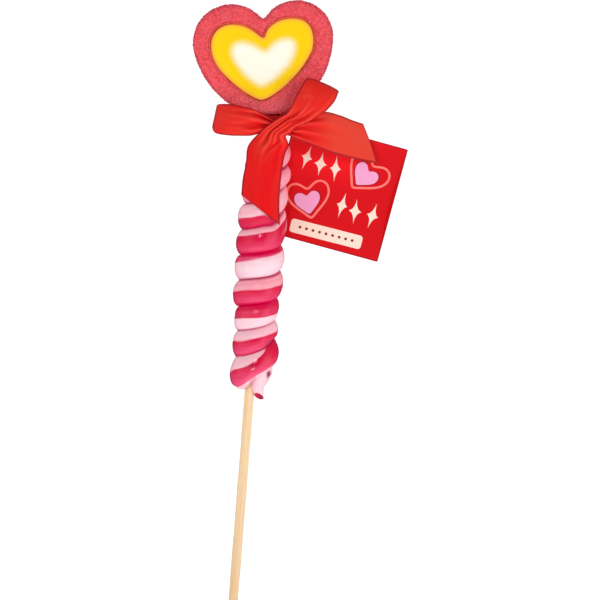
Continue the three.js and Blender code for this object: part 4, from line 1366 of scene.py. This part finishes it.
    # painted shade in the hollows and painted light on the ridges, from how sharply the ribbon bends across
    up = normal * np.where(normal[:, :, 2:3] < 0, -1.0, 1.0)
    step = np.linalg.norm(surface[:, 2:] - surface[:, :-2], axis=2) / 2
    fold_at = np.zeros((rows, cols))
    fold_at[:, 1:-1] = np.sum((surface[:, 2:] + surface[:, :-2] - 2 * surface[:, 1:-1]) * up[:, 1:-1], axis=2) / np.maximum(step, 0.02) ** 2
    for _ in range(2):
        fold_at[1:-1] = (fold_at[:-2] + 2 * fold_at[1:-1] + fold_at[2:]) / 4
    look = np.stack([np.clip(sheen_amount, 0, 1), hem_and_fold_shade, np.clip(fold_at, -1.2, 1.2)], axis=2).reshape(-1, 3)
    return points, faces, np.concatenate([cloth.reshape(-1, 3)] * 2), float(run[-1]), np.concatenate([look] * 2)


def creases(*marks):
    """Long hollows and ridges: (place from, to, side from, to, breadth, height)."""
    def height(place, k):
        out = np.zeros_like(k)
        for p0, p1, k0, k1, breadth, high in marks:
            if not p0 < place < p1:
                continue
            t = (place - p0) / (p1 - p0)
            rise = math.sin(math.pi * t) ** 1.5
            off = (k - lerp(k0, k1, t)) / (breadth * (0.7 + 0.6 * t))
            out = out + high * rise * np.exp(-off * off)
        return out
    return height


def ribbon_material():
    material, tree, shader = new_material("red_satin")
    cloth = attribute(tree, "cloth").outputs["Vector"]
    split = tree.nodes.new("ShaderNodeSeparateXYZ")
    tree.links.new(cloth, split.inputs[0])
    u, v = split.outputs[0], split.outputs[1]
    # fine weave, soft streaks along the yarns and a firmer woven edge
    ribs = calc(tree, "SINE", calc(tree, "MULTIPLY", v, 2 * math.pi / 0.32))
    yarns = calc(tree, "SINE", calc(tree, "MULTIPLY", u, 2 * math.pi / 0.26))
    weave = calc(tree, "MULTIPLY_ADD", ribs, 0.5, calc(tree, "MULTIPLY", yarns, 0.5))
    streak = noise_tex(tree, scaled(tree, cloth, 1.6, 0.07, 1), 1.0, 3.0, 0.6)
    soft = noise_tex(tree, scaled(tree, cloth, 0.12, 0.09, 1), 1.0, 2.0, 0.5)
    side = calc(tree, "ABSOLUTE", u)
    selvedge = ramp(tree, calc(tree, "MULTIPLY", side, 0.1), [(0.75, (0, 0, 0, 1)), (0.8, (1, 1, 1, 1))])
    colour = blend(tree, ramp(tree, soft, [(0.35, (0, 0, 0, 1)), (0.65, (1, 1, 1, 1))]), srgb(218, 0, 14), srgb(227, 2, 18))
    look = tree.nodes.new("ShaderNodeSeparateXYZ")
    tree.links.new(attribute(tree, "look").outputs["Vector"], look.inputs[0])
    painted_sheen, cut_end_and_fold_shade, folded = look.outputs[0], look.outputs[1], look.outputs[2]
    # painted sheen: an orange-red lightening of the satin
    colour = blend(tree, painted_sheen, colour, srgb(218, 63, 46))
    colour = blend(tree, calc(tree, "MULTIPLY_ADD", streak, 0.4, -0.1, clamp=True), colour, srgb(234, 26, 30))
    # painted shade in the fold hollows, then painted light on the fold ridges
    colour = blend(tree, calc(tree, "MULTIPLY", folded, 0.3, clamp=True), colour, srgb(172, 0, 14))
    colour = blend(tree, calc(tree, "MULTIPLY", folded, -0.42, clamp=True), colour, srgb(250, 78, 66))
    # dark woven edge and cut end, with painted shade at the loops' turns
    hem_and_fold_shade = calc(tree, "MAXIMUM", selvedge, cut_end_and_fold_shade)
    colour = blend(tree, calc(tree, "MULTIPLY", hem_and_fold_shade, 0.82), colour, srgb(138, 4, 30))
    tree.links.new(colour, shader.inputs["Base Color"])
    shader.inputs["Roughness"].default_value = 0.38
    shader.inputs["IOR"].default_value = 1.5
    shader.inputs["Specular IOR Level"].default_value = 0.34
    shader.inputs["Specular Tint"].default_value = (1.0, 0.5, 0.34, 1.0)
    shader.inputs["Sheen Weight"].default_value = 0.02
    shader.inputs["Sheen Roughness"].default_value = 0.4
    shader.inputs["Sheen Tint"].default_value = (1.0, 0.45, 0.35, 1.0)
    height = calc(tree, "ADD", calc(tree, "MULTIPLY", weave, 0.3), calc(tree, "MULTIPLY", selvedge, 0.6))
    bump(tree, shader, height, 0.25, 0.00006)
    return material


def ribbon(hole):
    stretches = []

    # loop to the upper right, whose front runs on over the knot into the tail on the candy
    stretches.append(band([
        ((4.2, 79.0, 22.0), (9.0, 75.2, 21.9), 1.0, 0.0),
        ((8.0, 82.8, 22.5), (16.0, 77.6, 22.2), 0.7, -0.3),
        ((10.8, 89.0, 22.6), (24.4, 85.8, 22.2), 0.2, -0.8),
        ((13.5, 95.3, 22.9), (27.9, 90.5, 22.7), 0.0, -0.4),
        ((14.1, 96.9, 24.4), (29.1, 91.9, 24.2), 0.0, 0.15),
        ((13.7, 96.1, 26.3), (28.6, 91.2, 26.0), 0.0, 0.6),
        ((10.9, 90.0, 27.9), (26.8, 87.3, 27.4), 0.06, 1.8),
        ((8.7, 84.6, 27.6), (23.0, 82.6, 26.6), 0.25, 1.8),
        ((7.1, 81.3, 26.3), (17.3, 78.1, 24.8), 0.75, 1.1),
        ((4.6, 79.2, 25.2), (11.6, 75.1, 24.3), 0.88, 0.7),
        ((1.4, 76.9, 24.4), (9.0, 72.2, 24.2), 0.8, 1.0),
        ((-2.6, 73.4, 23.7), (7.2, 70.8, 23.9), 0.74, 0.8),
        ((-6.0, 69.7, 22.0), (8.7, 67.2, 22.4), 0.55, 1.0),
        ((-8.5, 65.9, 21.0), (7.5, 63.4, 21.7), 0.28, 1.5),
        ((-9.0, 58.4, 20.7), (6.6, 54.8, 21.2), 0.06, 1.8),
        ((-9.8, 51.4, 20.7), (6.5, 44.4, 21.2), 0.0, 1.8),
        ((-9.9, 44.5, 20.9), (7.5, 32.9, 21.3), 0.0, 1.7),
    ], 330, [0.6, (2.6, 0.62, 0.9), (4.4, 0.38, 2.3)], limit=1.15, side=-1, extra=creases(
        (6.6, 9.4, 0.42, 0.15, 0.16, -1.1), (7.1, 9.2, 0.02, -0.1, 0.13, 0.5), (6.2, 9.6, -0.55, -0.4, 0.2, -0.55),
        (5.2, 8.6, 0.8, 0.62, 0.16, 0.35), (9.4, 13.2, 0.05, 0.3, 0.16, 0.7), (10.4, 13.4, -0.3, -0.42, 0.14, -0.7),
        (10.8, 14.6, 0.62, 0.5, 0.18, -0.5), (12.0, 15.6, -0.72, -0.5, 0.3, -0.25), (4.4, 7.4, -0.1, 0.1, 0.4, -0.3),
        (11.0, 13.8, 0.6, -0.15, 0.14, -0.9), (10.6, 13.5, 0.3, -0.4, 0.2, 0.5)),
        # painted sheen along this band, and patches of it
        painted_sheen=((0, 0.2), (4, 0.3), (8, 0.4), (11, 0.3), (12.2, 0.0), (13.5, 0.0)),
        patches=((12.1, -0.35, 1.1, 0.32, 0.6), (12.9, -0.2, 0.35, 0.22, 0.25)), turn=(4.35, 0.9, 0.35, 0.3, 0.8)))

    # loop to the left, whose front runs on below that band into the tail over the card
    stretches.append(band([
        ((3.4, 77.6, 17.6), (1.6, 73.4, 17.4), 1.0, 0.0),
        ((-4.6, 79.8, 18.4), (-5.4, 72.2, 18.0), 0.7, 0.2),
        ((-14.0, 81.9, 19.0), (-14.6, 71.8, 18.5), 0.15, -0.6),
        ((-21.2, 82.5, 19.6), (-22.5, 72.4, 18.9), 0.0, -0.5),
        ((-23.1, 82.7, 21.4), (-24.65, 72.2, 20.7), 0.0, 0.1),
        ((-22.5, 82.8, 23.8), (-23.7, 70.3, 23.0), 0.0, 0.6),
        ((-17.0, 82.9, 26.0), (-17.6, 69.55, 25.2), 0.04, 2.0),
        ((-11.7, 82.3, 25.9), (-11.4, 69.85, 25.1), 0.2, 1.9),
        ((-7.4, 81.5, 24.8), (-7.3, 70.3, 24.2), 0.55, 1.2),
        ((-3.4, 79.9, 22.8), (-3.8, 71.7, 22.7), 0.95, 0.6),
        ((1.4, 78.0, 21.7), (0.4, 72.4, 21.7), 1.0, 0.0),
        ((6.0, 77.4, 21.0), (5.6, 72.0, 21.0), 1.0, 0.0),
        ((10.8, 78.2, 21.0), (9.4, 71.2, 21.2), 1.0, 0.0),
        ((16.4, 81.2, 20.7), (13.4, 69.8, 20.2), 0.6, 0.3),
        ((22.8, 82.9, 18.4), (20.2, 67.6, 17.8), 0.2, 0.5),
        ((29.6, 81.9, 14.6), (28.0, 65.4, 13.6), 0.0, 0.7),
        ((35.3, 80.2, 10.8), (37.5, 63.8, 8.8), 0.0, 0.8),
        ((39.9, 79.1, 8.0), (47.4, 62.6, 4.9), 0.0, 0.5),
    ], 340, [2.1, (2.3, 0.6, 0.3), (3.9, 0.4, 1.7)], limit=1.1, side=1, extra=creases(
        (5.6, 10.2, 0.3, 0.28, 0.2, -1.25), (6.6, 10.4, 0.66, 0.6, 0.13, 0.55), (7.4, 10.6, 0.92, 0.84, 0.1, -0.5),
        (6.2, 10.0, -0.35, -0.2, 0.22, 0.45), (7.6, 10.4, -0.75, -0.62, 0.16, -0.6),
        (11.6, 15.6, 0.1, -0.05, 0.2, -0.6), (12.0, 16.6, -0.45, -0.4, 0.26, 0.35), (12.2, 15.8, 0.62, 0.5, 0.18, -0.4)),
        # painted sheen, strongest on the tail over the card
        painted_sheen=((0, 0.2), (5, 0.3), (6.5, 0.35), (9, 0.15), (13.2, 0.05), (13.9, 0.2), (14.8, 0.8), (17, 0.9)), lean=0.35,
        turn=(4.35, 0.9, -0.25, 0.5, 0.5)))

    # the wrap round the neck under the knot, gathered
    ring = []
    for t in np.linspace(-0.35, 2 * math.pi + 0.25, 15):
        r = 6.5 - 0.25 * math.cos(t) - 0.35 * (t > math.pi)
        x, z = 0.6 - r * math.sin(t), AXIS_Z + r * math.cos(t)
        ring.append(((x, 80.4 + 0.03 * x * x, z), (x, 71.9 + 0.2 * math.sin(3 * t), z), 1.0, 0.55))
    stretches.append(band(ring, 200, [1.0, (3.2, 0.6, 0.5), (5.4, 0.4, 1.1)], limit=0.75, side=-1, painted_sheen=((0, 0.1),), tail=0.0))

    # the strand that holds the card, a narrow twist of the same ribbon
    hx, hy, hz = hole
    strand = [(5.4, 76.0, 15.6), (11.6, 75.0, 11.0), (hx, hy, 5.4), (hx - 0.7, hy + 0.3, 2.0),
              (hx - 5.2, hy + 0.8, 1.9), (7.6, 75.2, 5.2), (6.2, 76.2, 9.0), (4.6, 76.2, 13.0)]
    all_points, all_faces, all_cloth, all_look = [], [], [], []
    total = 0
    run = 0.0
    for points, faces, cloth, length, sheen_amount in stretches:
        all_points.append(points)
        all_look.append(sheen_amount)
        all_faces += [tuple(k + total for k in f) for f in faces]
        all_cloth.append(cloth + np.array([0, run, 0]))
        total += len(points)
        run += length
    centre, tangent, length = catmull(strand, 110)
    sides = 10
    tube, cloth = [], []
    for i in range(len(centre)):
        t = tangent[i]
        a = unit(np.cross(t, (0.2, 0.1, 1.0)))
        b = np.cross(t, a)
        for j in range(sides):
            phi = 2 * math.pi * j / sides
            r = 0.72 + 0.14 * math.cos(2 * phi + i * 0.35)
            tube.append(centre[i] + a * r * math.cos(phi) + b * r * math.sin(phi))
            cloth.append((phi * 0.8, run + length * i / 110, 0))
    tube_faces = grid_faces(len(centre), sides, wrap_cols=True, flip=False)
    for ring_at, flip in ((0, False), ((len(centre) - 1) * sides, True)):
        tube.append(np.mean(tube[ring_at:ring_at + sides], axis=0))
        cloth.append(cloth[ring_at])
        tip = len(tube) - 1
        for j in range(sides):
            p, q = ring_at + j, ring_at + (j + 1) % sides
            tube_faces.append((q, p, tip) if not flip else (p, q, tip))
    all_points.append(np.array(tube))
    all_faces += [tuple(k + total for k in f) for f in tube_faces]
    all_cloth.append(np.array(cloth))
    all_look.append(np.zeros((len(tube), 3)))
    obj = make_object("ribbon_satin", np.concatenate(all_points), all_faces,
                      attributes={"cloth": np.concatenate(all_cloth), "look": np.concatenate(all_look)},
                      materials=[ribbon_material()])
    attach(obj, "root")
    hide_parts("ribbon_bow")
    print("ribbon length mm", round(run, 1))
    return obj


set_camera()
set_light()
set_floor()
stick()
candy()
ring_obj, ring_points, ring_push, ring_m, ring_n = heart_outer()
sugar_grains(ring_points, ring_push, ring_m, ring_n)
heart_inner()
hole = card()
ribbon(hole)
